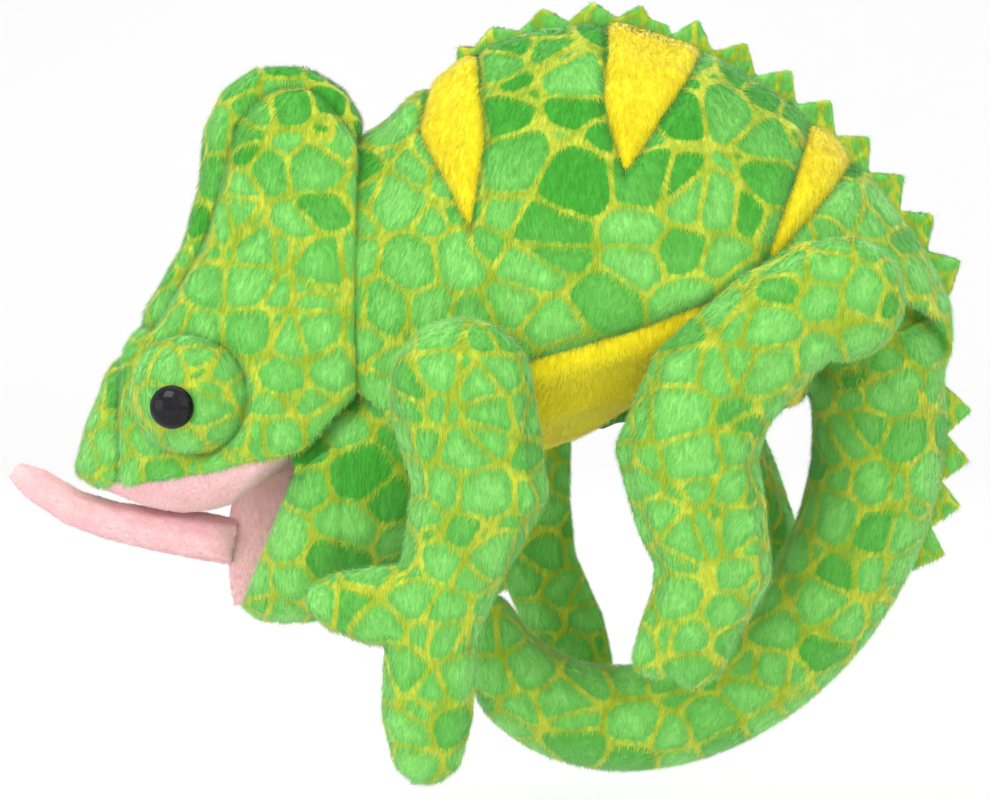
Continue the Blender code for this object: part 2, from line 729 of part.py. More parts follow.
def eye_mesh(margin, shank_to):
    """A glossy dome on a shank that runs into the head, for the left side."""
    x, z = EYE_CENTRE
    face = -(EYE_PATCH_FACE - 0.8)
    radius = EYE_RADIUS + margin
    rings = [(shank_to, EYE_SHANK + margin), (face + GAP, EYE_SHANK + margin), (face + margin, radius)]
    for i in range(1, DOME_STEPS):
        angle = math.pi / 2 * i / DOME_STEPS
        rings.append((face - (EYE_RADIUS * EYE_DOME + margin) * math.sin(angle), radius * math.cos(angle)))
    rows = []
    for y, ring_radius in rings:
        angles = [math.tau * k / EYE_SIDES for k in range(EYE_SIDES)]
        rows.append([Vector((x + ring_radius * math.cos(angle), y, z + ring_radius * math.sin(angle)))
                     for angle in angles])
    return loft("eye", rows)


def washer_mesh():
    """The lock washer pushed on to the shank inside the head."""
    return cylinder_mesh("washer", EYE_CENTRE, EYE_WASHER, 0.8, segments=18, y=-EYE_WASHER_Y)


eye_tools = {}


def make_eye_tools():
    for side, sign in SIDES.items():
        x, z, radius = EYE_PATCH
        disc = cylinder_mesh("room", (x, z), radius + GAP, 12.0, segments=24, y=-29.5)
        shank = eye_mesh(GAP, 1.5 - EYE_SHANK_END)
        eye_tools[side] = {
            "room": cutter(f"eye_patch_room_{side}", sided(disc, sign)),
            "shank": cutter(f"eye_shank_room_{side}", sided(shank, sign)),
        }


def make_eyes():
    """Turret patch, glossy eye and lock washer on each side."""
    x, z, radius = EYE_PATCH
    base = cylinder_mesh("rim", (x, z), radius, 15.0, segments=24, y=-37.0)
    for side, sign in SIDES.items():
        rim = cutter(f"turret_rim_{side}", sided(base, sign))
        patch = piece(f"eye_patch_{side}", sided(eye_patch_mesh(), sign), "plush_green")
        keep(patch, rim)
        carve(patch, head_inner, eye_tools[side]["shank"])
        piece(f"safety_eye_{side}", sided(eye_mesh(0.0, -EYE_SHANK_END), sign), "eye_black")
        washer = piece(f"eye_washer_{side}", sided(washer_mesh(), sign), "washer")
        hole = cylinder_mesh("hole", EYE_CENTRE, EYE_SHANK + GAP, 4.0, segments=18, y=-EYE_WASHER_Y)
        carve(washer, cutter(f"washer_hole_{side}", sided(hole, sign)))


def make_head_inside():
    """Stuffing of head and casque, finger pocket, and the upper jaw's plate and lining."""
    stuffing = piece("head_stuffing", level_volume("stuffing", HEAD, HEAD_TAPER, SKIN + GAP), "stuffing")
    plate_top = LINING + PLATE + 3 * GAP
    below_plate = cutter("below_plate", lip_slab("below", UPPER_LIP_ANGLE, LIP_REACH, (-FAR, plate_top)))
    cheek_inner = slab_cutter("cheek_inner", grown(behind_mouth(), SKIN))
    head_rear_inner = slab_cutter("head_rear_inner", behind(HEAD_REAR - SKIN))
    pocket_room = cutter("pocket_room", tube_mesh(
        "room", FINGER_POCKET, inset=-2 * GAP, flatness=POCKET_WIDTH, start=12.0, end=1.0))
    carve(stuffing, head_rear_inner, below_plate, cheek_inner, pocket_room)
    for side, sign in SIDES.items():
        hollow = cylinder_mesh("hollow", EYE_CENTRE, EYE_WASHER + 2 * GAP, 14.0, segments=18,
                               y=-(EYE_SHANK_END + 13.0))
        carve(stuffing, cutter(f"eye_hollow_{side}", sided(hollow, sign)))
    oval_shell("finger_pocket", FINGER_POCKET, LINING, "lining")
    lining = piece("palate_lining", level_volume("lining", HEAD, HEAD_TAPER, LINING_INSET), "plush_pink")
    keep(lining, cutter("palate_layer", lip_slab("layer", UPPER_LIP_ANGLE, (1.0, 95.0), (0.0, LINING))))
    plate = piece("upper_mouth_plate", level_volume("plate", HEAD, HEAD_TAPER, SKIN + 2 * GAP), "plate")
    keep(plate, cutter("upper_plate_layer", lip_slab("layer", UPPER_LIP_ANGLE, (4.0, 95.0), PLATE_LAYER)))


# ---------------------------------------------------------------- lower jaw and tongue


def make_lower_jaw():
    """The jaw skin is a scoop, open to the neck, with a lining, a plate and a thumb pocket."""
    corner_x, corner_z = MOUTH_CORNER
    skin = piece("jaw_skin", level_volume("jaw", JAW, 0.0, 0.0), "plush_green")
    inner = cutter("jaw_inner", level_volume("jaw", JAW, 0.0, SKIN))
    in_front = cutter("before_jaw", lip_slab("before", LOWER_LIP_ANGLE, LIP_REACH, (-FAR, LINING + GAP)))
    above = slab_cutter("above_jaw", [(-150.0, corner_z - 1.5), (corner_x + 2.0, corner_z - 3.5),
                                      (-96.0, 5.0), (-96.0, 40.0), (-150.0, 40.0)])
    hand_way = slab_cutter("jaw_hand_way", [(-104.0, -6.0), (-90.0, -6.0), (-90.0, -40.0), (-104.0, -40.0)],
                           JAW_WAY_HALF)
    carve(skin, inner, in_front, above, hand_way)
    lining = piece("jaw_lining", level_volume("lining", JAW, 0.0, LINING_INSET), "plush_pink")
    keep(lining, cutter("jaw_lining_layer", lip_slab("layer", LOWER_LIP_ANGLE, (4.0, 95.0), (0.0, LINING))))
    plate = piece("lower_mouth_plate", level_volume("plate", JAW, 0.0, SKIN + 2 * GAP), "plate")
    keep(plate, cutter("lower_plate_layer", lip_slab("layer", LOWER_LIP_ANGLE, (7.0, 95.0), PLATE_LAYER)))
    oval_shell("thumb_pocket", THUMB_POCKET, LINING, "lining")


def make_tongue():
    """A stuffed tube of pink plush, closed at the tip and open at the root."""
    body = TONGUE[:-1]
    skin = piece("tongue_skin", tube_mesh("tongue", TONGUE), "plush_pink")
    carve(skin, cutter("tongue_bore", tube_mesh("bore", body, inset=TONGUE_SKIN, start=4.0, end=-2.0)))
    core = tube_mesh("core", body, inset=TONGUE_SKIN + GAP, start=-1.0, end=-3.0)
    piece("tongue_stuffing", core, "stuffing")


# ---------------------------------------------------------------- legs


def leg_parts(main, toe, inset, open_end):
    """The main tube and the toe tube of a leg, on the left side."""
    options = {"inset": inset, "flatness": LEG_FLATNESS, "y": -LEG_WALL_Y}
    return (tube_mesh("leg", main, start=open_end, end=-inset, **options),
            tube_mesh("toe", toe, end=-inset, **options))


def leg_pose(pivot, sign, rest):
    """Puts a left leg on its side and gives it its sewn swing, twist and splay."""
    swing, twist, splay = (math.radians(value) for value in rest)
    centre = Vector((pivot[0], sign * LEG_WALL_Y, pivot[1])) * MM
    turn = (Matrix.Rotation(swing, 4, "Y") @ Matrix.Rotation(splay, 4, "X")
            @ Matrix.Rotation(twist, 4, "Z"))
    return Matrix.Translation(centre) @ turn @ Matrix.Translation(-centre)


def make_leg(place, pivot, main, toe):
    end, side = place.split("_")
    sign = SIDES[side]
    pose = leg_pose(pivot, sign, LEG_REST[place])

    def placed(mesh):
        mesh = sided(mesh, sign)
        mesh.transform(pose)
        return mesh

    outer = [placed(mesh) for mesh in leg_parts(main, toe, 0.0, 0.0)]
    inner = [placed(mesh) for mesh in leg_parts(main, toe, SKIN, LEG_BORE_LEAD)]
    core = [placed(mesh) for mesh in leg_parts(main, toe, SKIN + GAP, -SKIN)]
    skin = piece(f"{end}_leg_skin_{side}", outer[0], "plush_green")
    join(skin, cutter(f"{place}_toe", outer[1]))
    hollow = join(cutter(f"{place}_inner", inner[0]), cutter(f"{place}_toe_inner", inner[1]))
    carve(skin, hollow)
    stuffing = piece(f"{end}_leg_stuffing_{side}", core[0], "stuffing")
    join(stuffing, cutter(f"{place}_toe_core", core[1]))
    for number, angle in enumerate(LEG_SWINGS):
        centre = Vector((pivot[0], 0.0, pivot[1])) * MM
        body = torso_grown.copy()
        body.transform(Matrix.Translation(centre) @ Matrix.Rotation(math.radians(angle), 4, "Y")
                       @ Matrix.Translation(-centre))
        sweep = cutter(f"{place}_sweep_{number}", body)
        carve(skin, sweep)
        carve(stuffing, sweep)


# ---------------------------------------------------------------- tail


def make_tail():
    """Three stuffed lengths. Each starts inside a round seat, centred on its joint, of the last."""
    starts = (0,) + TAIL_SPLITS
    ends = TAIL_SPLITS + (len(TAIL) - 1,)
    names = ("base", "middle", "tip")
    for number, (name, first, last) in enumerate(zip(names, starts, ends)):
        points = list(TAIL[first:last + 1])
        if number > 0:
            points[0] = (*TAIL_PIVOTS[number], points[0][2])
        if number < 2:
            points[-1] = (*TAIL_PIVOTS[number + 1], points[-1][2])
        lead = 0.0 if number == 0 else TAIL_LEAD
        skin = piece(f"tail_skin_{name}", tube_mesh("tail", points, start=lead), "plush_green")
        closed = number == 2
        bore = tube_mesh("bore", points[:-1] if closed else points, inset=SKIN, start=lead + TAIL_LEAD,
                         end=0.0 if closed else TAIL_LEAD)
        carve(skin, cutter(f"tail_bore_{name}", bore))
        core = tube_mesh("core", points[:-1] if closed else points, inset=SKIN + GAP, start=lead - 2.0,
                         end=-1.0 if closed else 0.0)
        stuffing = piece(f"tail_stuffing_{name}", core, "stuffing")
        if number < 2:
            radius = math.hypot(TAIL_LEAD, TAIL[last][2]) + 3 * GAP
            seat = cylinder_mesh("seat", TAIL_PIVOTS[number + 1], radius, FAR / 2)
            seat = cutter(f"tail_seat_{name}", seat)
            carve(skin, seat)
            carve(stuffing, seat)


# ---------------------------------------------------------------- joints

# Each moving group: the group it hangs from, its axis as (x, z), y, and the names of its pieces.
HEAD_PIECES = ("head_", "casque_", "snout_", "eye_", "safety_", "finger_", "palate_", "upper_")
MOVING_GROUPS = {
    "head": (None, NECK_PIVOT, 0.0, HEAD_PIECES),
    "lower_jaw": ("head", JAW_PIVOT, 0.0, ("jaw_", "lower_", "thumb_")),
    "tongue": ("lower_jaw", TONGUE_PIVOT, 0.0, ("tongue_",)),
    "tail_base": (None, TAIL_PIVOTS[0], 0.0, ("tail_crest", "tail_skin_base", "tail_stuffing_base")),
    "tail_middle": ("tail_base", TAIL_PIVOTS[1], 0.0, ("tail_skin_middle", "tail_stuffing_middle")),
    "tail_tip": ("tail_middle", TAIL_PIVOTS[2], 0.0, ("tail_skin_tip", "tail_stuffing_tip")),
}
for leg_side, leg_sign in SIDES.items():
    for leg_end, leg_pivot in (("front", SHOULDER), ("hind", HIP)):
        MOVING_GROUPS[f"{leg_end}_leg_{leg_side}"] = (None, leg_pivot, leg_sign * LEG_WALL_Y, (
            f"{leg_end}_leg_skin_{leg_side}", f"{leg_end}_leg_stuffing_{leg_side}"))


def hang_on_joints():
    """Parents each moving piece to an empty on its joint's axis, without moving it."""
    empties = {}
    for group, (parent, (x, z), y, starts) in MOVING_GROUPS.items():
        empty = bpy.data.objects.new(f"{group}_axis", None)
        empty.empty_display_type = "SINGLE_ARROW"
        PARTS.objects.link(empty)
        place = Vector((x, y, z)) * MM
        empty.location = place
        if parent:
            empty.parent = empties[parent]
            empty.location = place - Vector((MOVING_GROUPS[parent][1][0], MOVING_GROUPS[parent][2],
                                             MOVING_GROUPS[parent][1][1])) * MM
        empties[group] = empty
        bpy.context.view_layer.update()
        for obj in PARTS.objects:
            if obj.type == "MESH" and obj.name.startswith(starts):
                obj.parent = empty
                obj.matrix_parent_inverse = empty.matrix_world.inverted()


def main():
    make_body_panels()
    make_belly_panel()
    make_opening_hem()
    make_crests()
    make_glove_and_padding()
    make_neck_sleeve()
    make_eye_tools()
    make_head_skin()
    make_eyes()
    make_head_inside()
    make_lower_jaw()
    make_tongue()
    for place in LEG_REST:
        if place.startswith("front"):
            make_leg(place, SHOULDER, FRONT_LEG, FRONT_TOE)
        else:
            make_leg(place, HIP, HIND_LEG, HIND_TOE)
    make_tail()
    for obj in PARTS.objects:
        tidy_seams(obj)
    hang_on_joints()
    bpy.context.view_layer.update()


main()
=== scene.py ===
"""The looks of a plush chameleon hand puppet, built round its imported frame.

Most skins are remeshed from the frame's own solids and smoothed, and pressed in along their seams.
The tail is swept along a line read off the tail's solids. The mouth lining and the throat's fold are
lofted here. All of them are covered with a combed pile of fine closed tufts. The green print is a net
of scales, worked out for each point of skin and each tuft's root, so both show the same print.
"""
import json
import math

import bmesh
import bpy
import numpy as np
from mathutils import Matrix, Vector
from mathutils.bvhtree import BVHTree


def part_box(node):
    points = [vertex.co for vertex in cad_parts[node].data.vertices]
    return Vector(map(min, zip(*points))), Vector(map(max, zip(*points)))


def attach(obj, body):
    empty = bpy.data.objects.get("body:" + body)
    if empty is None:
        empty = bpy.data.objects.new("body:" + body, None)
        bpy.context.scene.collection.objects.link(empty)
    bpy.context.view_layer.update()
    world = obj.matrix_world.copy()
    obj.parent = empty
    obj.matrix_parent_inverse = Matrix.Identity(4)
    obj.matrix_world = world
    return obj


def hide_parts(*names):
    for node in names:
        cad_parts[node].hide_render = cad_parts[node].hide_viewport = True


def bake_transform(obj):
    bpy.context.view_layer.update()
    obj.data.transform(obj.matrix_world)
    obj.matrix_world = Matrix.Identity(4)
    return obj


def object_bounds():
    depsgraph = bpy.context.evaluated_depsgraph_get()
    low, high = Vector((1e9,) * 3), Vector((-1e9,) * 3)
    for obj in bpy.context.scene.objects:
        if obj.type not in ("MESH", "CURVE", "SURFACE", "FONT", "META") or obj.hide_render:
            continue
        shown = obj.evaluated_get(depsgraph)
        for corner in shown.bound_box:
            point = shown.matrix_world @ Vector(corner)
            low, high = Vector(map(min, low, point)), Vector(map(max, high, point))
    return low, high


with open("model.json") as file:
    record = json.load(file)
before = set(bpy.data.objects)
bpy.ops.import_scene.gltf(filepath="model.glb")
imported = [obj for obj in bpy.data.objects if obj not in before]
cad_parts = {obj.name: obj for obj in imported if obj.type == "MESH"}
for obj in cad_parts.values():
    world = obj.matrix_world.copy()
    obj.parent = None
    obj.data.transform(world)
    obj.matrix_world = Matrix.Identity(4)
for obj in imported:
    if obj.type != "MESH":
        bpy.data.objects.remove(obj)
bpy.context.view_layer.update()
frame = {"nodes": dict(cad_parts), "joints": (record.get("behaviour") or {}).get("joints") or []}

MM = 0.001
SIDES = {"left": -1.0, "right": 1.0}
NODES = frame["nodes"]
PIVOT = {joint["child"]: Vector(joint["pos_m"]) for joint in frame["joints"]}

VOXEL = 1.5 * MM                # fineness of the plush skins
GROW = 0.45 * MM                # closes the running gaps between the frame's solids
SMOOTHING = 26                  # rounds over a skin
WELD = 0.001 * MM               # points of the frame's solids closer than this are one
SEAM_DEPTH = 1.5 * MM
SEAM_WIDTH = 2.2 * MM
SEAM_PUFF = 0.5 * MM            # how far the plush rises beside a seam
SEAM_SHADE = 1.1 * MM           # half width of the darker line along a seam
FAR = 1.0                       # farther than any point of the puppet
CURVE_STEPS = 400               # fineness of an eased curve
CURVE_EASE = 22                 # steps to each side over which it is averaged

SCALE_SIZE = 15.5 * MM          # the print's scales
COMB = Vector((-0.22, 0.0, -1.0))   # the way the nap lies

# ---------------------------------------------------------------- mesh helpers


def link(name, mesh):
    """A new object of the scene."""
    obj = bpy.data.objects.new(name, mesh)
    bpy.context.scene.collection.objects.link(obj)
    return obj


def node_tree(names):
    """A search tree over the surfaces of some of the frame's nodes."""
    points, faces = [], []
    for name in names:
        mesh = NODES[name].data
        start = len(points)
        points.extend(vertex.co.copy() for vertex in mesh.vertices)
        faces.extend([start + i for i in polygon.vertices] for polygon in mesh.polygons)
    return BVHTree.FromPolygons(points, faces)


def coordinates(mesh):
    """The mesh's points, one row each."""
    values = np.empty(len(mesh.vertices) * 3)
    mesh.vertices.foreach_get("co", values)
    return values.reshape(-1, 3)


def set_coordinates(mesh, points):
    mesh.vertices.foreach_set("co", np.ascontiguousarray(points, np.float32).ravel())
    mesh.update()


def vertex_normals(mesh):
    values = np.empty(len(mesh.vertices) * 3)
    mesh.vertices.foreach_get("normal", values)
    return values.reshape(-1, 3)


def edge_pairs(mesh):
    """The two point numbers of each edge."""
    values = np.empty(len(mesh.edges) * 2, np.int32)
    mesh.edges.foreach_get("vertices", values)
    return values.reshape(-1, 2)


def relaxed(points, pairs, rounds, factors=(0.6, -0.6), chosen=None):
    """Points moved towards the mean of their neighbours, and partly back so that nothing shrinks."""
    count = np.maximum(np.bincount(pairs.ravel(), minlength=len(points)), 1)[:, None]
    ends, starts = np.concatenate([pairs, pairs[:, ::-1]]).T
    points = points.copy()
    for _ in range(rounds):
        for factor in factors:
            mean = np.stack([np.bincount(ends, points[starts, k], len(points))
                             for k in range(3)], 1) / count
            step = factor * (mean - points)
            if chosen is not None:
                step *= chosen[:, None]
            points += step
    return points


def remeshed(name, nodes, voxel=VOXEL, grow=GROW, rounds=SMOOTHING, grow_of=None, balls=()):
    """One smooth closed skin round the frame's solids, and round balls that fill out their joints."""
    joined = bmesh.new()
    for node in nodes:
        part = bmesh.new()
        part.from_mesh(NODES[node].data)
        bmesh.ops.remove_doubles(part, verts=part.verts, dist=WELD)
        part.normal_update()
        amount = (grow_of or {}).get(node, grow)
        for vertex in part.verts:
            vertex.co += vertex.normal * amount
        scratch = bpy.data.meshes.new("scratch")
        part.to_mesh(scratch)
        part.free()
        joined.from_mesh(scratch)
        bpy.data.meshes.remove(scratch)
    for centre, radius, flatness in balls:
        made = bmesh.ops.create_icosphere(joined, subdivisions=4, radius=radius)["verts"]
        for vertex in made:
            vertex.co.y *= flatness
            vertex.co += centre
    mesh = bpy.data.meshes.new(name)
    joined.to_mesh(mesh)
    joined.free()
    obj = link(name, mesh)
    remesh = obj.modifiers.new("remesh", "REMESH")
    remesh.mode = "VOXEL"
    remesh.voxel_size = voxel
    bpy.context.view_layer.update()
    depsgraph = bpy.context.evaluated_depsgraph_get()
    final = bpy.data.meshes.new_from_object(obj.evaluated_get(depsgraph))
    obj.modifiers.clear()
    obj.data = final
    bpy.data.meshes.remove(mesh)
    set_coordinates(final, relaxed(coordinates(final), edge_pairs(final), rounds))
    return obj


def smooth_curve(keys, values, spots):
    """Values between keys, eased by a rounded average of straight runs."""
    fine = np.interp(np.linspace(0, 1, CURVE_STEPS), keys, values)
    kernel = np.hanning(2 * CURVE_EASE + 1)
    kernel /= kernel.sum()
    padded = np.pad(fine, CURVE_EASE, mode="reflect", reflect_type="odd")
    return np.interp(spots, np.linspace(0, 1, CURVE_STEPS), np.convolve(padded, kernel, "valid"))


def join_rings(bm, rows):
    """Faces between each closed ring of vertices and the next."""
    for row, following in zip(rows, rows[1:]):
        for k in range(len(row)):
            j = (k + 1) % len(row)
            bm.faces.new((row[k], row[j], following[j], following[k]))


def capped(bm, rows, name):
    """A closed mesh of rings joined in order, with flat ends."""
    join_rings(bm, rows)
    bm.faces.new(rows[0])
    bm.faces.new(list(reversed(rows[-1])))
    bmesh.ops.recalc_face_normals(bm, faces=bm.faces)
    mesh = bpy.data.meshes.new(name)
    bm.to_mesh(mesh)
    bm.free()
    return mesh


def distances(points, groups):
    """How far each point is from each group of nodes: one column for each group."""
    columns = []
    for names in groups:
        tree = node_tree(names)
        columns.append([tree.find_nearest(Vector(point))[3] for point in points])
    return np.array(columns).T


def sew(obj, groups, halves=False):
    """Presses a skin in where two groups of nodes meet. Returns each point's group.

    With halves, the first group is only for the left side and the second only for the right.
    """
    mesh = obj.data
    points = coordinates(mesh)
    away = distances(points, groups)
    if halves:
        away[points[:, 1] >= 0, 0] = FAR
        away[points[:, 1] < 0, 1] = FAR
    order = np.argsort(away, axis=1)
    rows = np.arange(len(points))
    seam = away[rows, order[:, 1]] - away[rows, order[:, 0]]
    press = -SEAM_DEPTH * np.exp(-(seam / SEAM_WIDTH) ** 2)
    press += SEAM_PUFF * np.exp(-((seam - 2.6 * SEAM_WIDTH) / (1.6 * SEAM_WIDTH)) ** 2)
    set_coordinates(mesh, points + vertex_normals(mesh) * press[:, None])
    add_attribute(mesh, "seam", "FLOAT", np.exp(-(seam / SEAM_SHADE) ** 2))
    return order[:, 0]


def face_majority(mesh, labels):
    """Each face's label: the commonest of its corners'."""
    result = np.empty(len(mesh.polygons), np.int32)
    for i, polygon in enumerate(mesh.polygons):
        corners = [labels[v] for v in polygon.vertices]
        result[i] = max(set(corners), key=corners.count)
    return result


def cut_apart(obj, face_labels, names):
    """Splits a skin into panels along its labels, and smooths the lines where they part."""
    mesh = obj.data
    pairs = edge_pairs(mesh)
    lookup = {tuple(sorted(pair)): i for i, pair in enumerate(map(tuple, pairs))}
    seen = {}
    border = []
    for i, polygon in enumerate(mesh.polygons):
        for key in polygon.edge_keys:
            if key in seen and seen[key] != face_labels[i]:
                border.append(lookup[tuple(sorted(key))])
            seen[key] = face_labels[i]
    if border:
        rim = pairs[border]
        chosen = np.zeros(len(mesh.vertices))
        chosen[rim.ravel()] = 1.0
        points = relaxed(coordinates(mesh), rim, 10, (0.5,), chosen)
        points = relaxed(points, pairs, 2, (0.4,), 1.0 - chosen)
        set_coordinates(mesh, points)
    panels = []
    for label, name in enumerate(names):
        bm = bmesh.new()
        bm.from_mesh(mesh)
        bm.faces.ensure_lookup_table()
        others = [bm.faces[i] for i in np.flatnonzero(face_labels != label)]
        bmesh.ops.delete(bm, geom=others, context="FACES")
        panel = bpy.data.meshes.new(name)
        bm.to_mesh(panel)
        bm.free()
        panels.append(link(name, panel))
    bpy.data.objects.remove(obj)
    return panels


def add_attribute(mesh, name, kind, values):
    attribute = mesh.attributes.new(name, kind, "POINT")
    attribute.data.foreach_set("vector" if kind == "FLOAT_VECTOR" else "value",
                               np.ascontiguousarray(values, np.float32).ravel())


PRINT_PERIOD = 48               # the print repeats after this many scales
SITES = np.random.default_rng(7).random((PRINT_PERIOD, PRINT_PERIOD, PRINT_PERIOD, 4))
PRINT_ROUNDING = 0.045          # how far the corners of the scales are rounded, over their size
PRINT_STRETCH = np.array([1.12, 1.25, 0.94])    # a scale's length along x, y and z, over its size
PRINT_SCATTER = 0.78            # how far a scale's centre may stray, over its cell
PRINT_WAVE = 11 * MM            # size of the net's slow waves
PRINT_SWAY = 1.3 * MM           # how far they move it
LEAST_SLOPE = 0.16              # limits the narrowing of lines that lie nearly along the surface


def scale_print(points, normals, size):
    """For each point: how far along the surface the nearest line of the print is, in millimetres,
    and its scale's draw."""
    stretch = PRINT_STRETCH * size
    place = (points + wobble(points, PRINT_WAVE, 3) * PRINT_SWAY) / stretch
    facing = normals * stretch
    facing /= np.maximum(np.linalg.norm(facing, axis=1, keepdims=True), 1e-9)
    home = np.floor(place).astype(np.int64)
    steps = np.array([(i, j, k) for i in (-1, 0, 1) for j in (-1, 0, 1) for k in (-1, 0, 1)])
    nearest = np.full(len(points), np.inf)
    centre, draw = np.zeros_like(place), np.zeros(len(points))
    for step in steps:
        cell = home + step
        site = SITES[tuple((cell % PRINT_PERIOD).T)]
        spot = cell + 0.5 + PRINT_SCATTER * (site[:, :3] - 0.5)
        away = ((place - spot) ** 2).sum(1)
        closer = away < nearest
        nearest[closer], centre[closer] = away[closer], spot[closer]
        draw[closer] = site[closer, 3]
    total = np.zeros(len(points))
    for step in steps:
        cell = home + step
        spot = cell + 0.5 + PRINT_SCATTER * (SITES[tuple((cell % PRINT_PERIOD).T)][:, :3] - 0.5)
        way = spot - centre
        span = np.linalg.norm(way, axis=1)
        other = span > 1e-6
        gap = (((place - spot) ** 2).sum(1) - nearest) / (2 * np.maximum(span, 1e-6))
        slope = 1 - ((way * facing).sum(1) / np.maximum(span, 1e-6)) ** 2
        across = np.sqrt(np.clip(slope, LEAST_SLOPE, 1))
        total += np.where(other, np.exp(-gap / across / PRINT_ROUNDING), 0)
    edge = np.clip(-PRINT_ROUNDING * np.log(np.maximum(total, 1e-12)), 0, 1) * size / MM
    return np.stack([edge, draw, np.zeros_like(draw)], 1)


def finish_skin(obj, material, dark=None, size=None):
    """Stores what the plush materials read, and shades the skin smooth."""
    mesh = obj.data
    points = coordinates(mesh)
    if size:
        printed = scale_print(points, vertex_normals(mesh), size)
        add_attribute(mesh, "print", "FLOAT_VECTOR", printed)
    add_attribute(mesh, "pelt", "FLOAT_VECTOR", points)
    # 0.35 along the strand: the bare skin takes the roots' painted shade under the pile
    add_attribute(mesh, "strand", "FLOAT_VECTOR", np.tile((0.5, 0.35, 0.0), (len(points), 1)))
    add_attribute(mesh, "depth", "FLOAT", np.zeros(len(points)) if dark is None else dark(points))
    mesh.materials.clear()
    mesh.materials.append(material)
    mesh.shade_smooth()


# ---------------------------------------------------------------- pile

MAX_TUFTS = 48000               # on one piece
STRAY = 0.16                    # how far single tufts stray from the comb, over its own length
WAVE = 14 * MM                  # size of the comb's slow waves
TUFT_FACES = np.array([[0, 1, 3], [1, 2, 3], [2, 0, 3], [0, 2, 1]])     # wound outwards


def wobble(points, size, seed):
    """A slowly varying vector for each point, made of a few sine waves."""
    draw = np.random.default_rng(seed)
    total = np.zeros((len(points), 3))
    for _ in range(5):
        wave = draw.normal(size=3) / size
        phase = draw.uniform(0, math.tau, 3)
        total += np.sin((points @ wave)[:, None] + phase)
    return total / 5


def pile(skin, name, density, length, width, lean, seed, comb=COMB, dark=None, scale=None):
    """Closed tufts rooted in a skin: density a square millimetre, lean 0 flat to 1 upright."""
    draw = np.random.default_rng(seed)
    mesh = skin.data
    mesh.calc_loop_triangles()
    corners = np.empty(len(mesh.loop_triangles) * 3, np.int32)
    mesh.loop_triangles.foreach_get("vertices", corners)
    corners = corners.reshape(-1, 3)
    points, normals = coordinates(mesh), vertex_normals(mesh)
    a, b, c = (points[corners[:, k]] for k in range(3))
    area = np.linalg.norm(np.cross(b - a, c - a), axis=1) / 2
    count = min(int(area.sum() * 1e6 * density), MAX_TUFTS)
    chosen = draw.choice(len(area), count, p=area / area.sum())
    u, v = draw.random((2, count))
    flip = u + v > 1
    u[flip], v[flip] = 1 - u[flip], 1 - v[flip]
    share = np.stack([1 - u - v, u, v], 1)[:, :, None]
    root = (points[corners[chosen]] * share).sum(1)
    up = (normals[corners[chosen]] * share).sum(1)
    up /= np.maximum(np.linalg.norm(up, axis=1, keepdims=True), 1e-9)
    lie = np.array(comb)[None] + 0.45 * wobble(root, WAVE, seed)
    lie = lie + draw.normal(scale=STRAY, size=(count, 3))
    lie = lie - (lie * up).sum(1, keepdims=True) * up
    lie /= np.maximum(np.linalg.norm(lie, axis=1, keepdims=True), 1e-9)
    rise = np.clip(draw.normal(lean, 0.09, count), 0.06, 0.95)[:, None]
    along = lie * np.sqrt(1 - rise ** 2) + up * rise
    side = np.cross(along, up)
    side /= np.maximum(np.linalg.norm(side, axis=1, keepdims=True), 1e-9)
    size = (length * draw.uniform(0.7, 1.15, count))[:, None]
    half = (width * draw.uniform(0.7, 1.2, count) / 2)[:, None]
    foot = root - up * half * 0.3
    ring = np.stack([foot + side * half, foot - side * half, foot + up * half * 0.5 - along * half,
                     foot + along * size], 1)
    faces = (TUFT_FACES[None] + 4 * np.arange(count)[:, None, None]).reshape(-1, 3)
    fur = bpy.data.meshes.new(name)
    fur.vertices.add(4 * count)
    fur.loops.add(faces.size)
    fur.polygons.add(len(faces))
    fur.vertices.foreach_set("co", ring.astype(np.float32).ravel())
    fur.loops.foreach_set("vertex_index", faces.astype(np.int32).ravel())
    fur.polygons.foreach_set("loop_start", np.arange(0, faces.size, 3, dtype=np.int32))
    fur.update()
    fur.validate()
    add_attribute(fur, "pelt", "FLOAT_VECTOR", np.repeat(root, 4, 0))
    if scale:
        add_attribute(fur, "print", "FLOAT_VECTOR", np.repeat(scale_print(root, up, scale), 4, 0))
    tone = np.repeat(draw.random(count), 4)
    # each corner's place along its tuft, which sets the painted root shade and the painted tip sheen
    tip = np.tile((0.25, 0.25, 0.4, 1.0), count)
    add_attribute(fur, "strand", "FLOAT_VECTOR", np.stack([tone, tip, np.zeros_like(tip)], 1))
    depth = np.zeros(count) if dark is None else dark(root)
    add_attribute(fur, "depth", "FLOAT", np.repeat(depth, 4))
    if "seam" in mesh.attributes:
        near = np.empty(len(mesh.vertices))
        mesh.attributes["seam"].data.foreach_get("value", near)
        near = (near[corners[chosen]] * share[:, :, 0]).sum(1)
        add_attribute(fur, "seam", "FLOAT", np.repeat(near, 4))
    soft = up * 0.95 + along * 0.15 + draw.normal(scale=0.07, size=(count, 3))
    spread = np.tile([[0.25], [-0.25], [0.0], [0.0]], (count, 1)) * np.repeat(side, 4, 0)
    soft = np.repeat(soft, 4, 0) + spread
    soft /= np.linalg.norm(soft, axis=1, keepdims=True)
    fur.shade_smooth()
    fur.normals_split_custom_set_from_vertices(soft.astype(np.float32))
    tuft_islands(fur, count)
    fur.materials.append(mesh.materials[0])
    return link(name, fur)


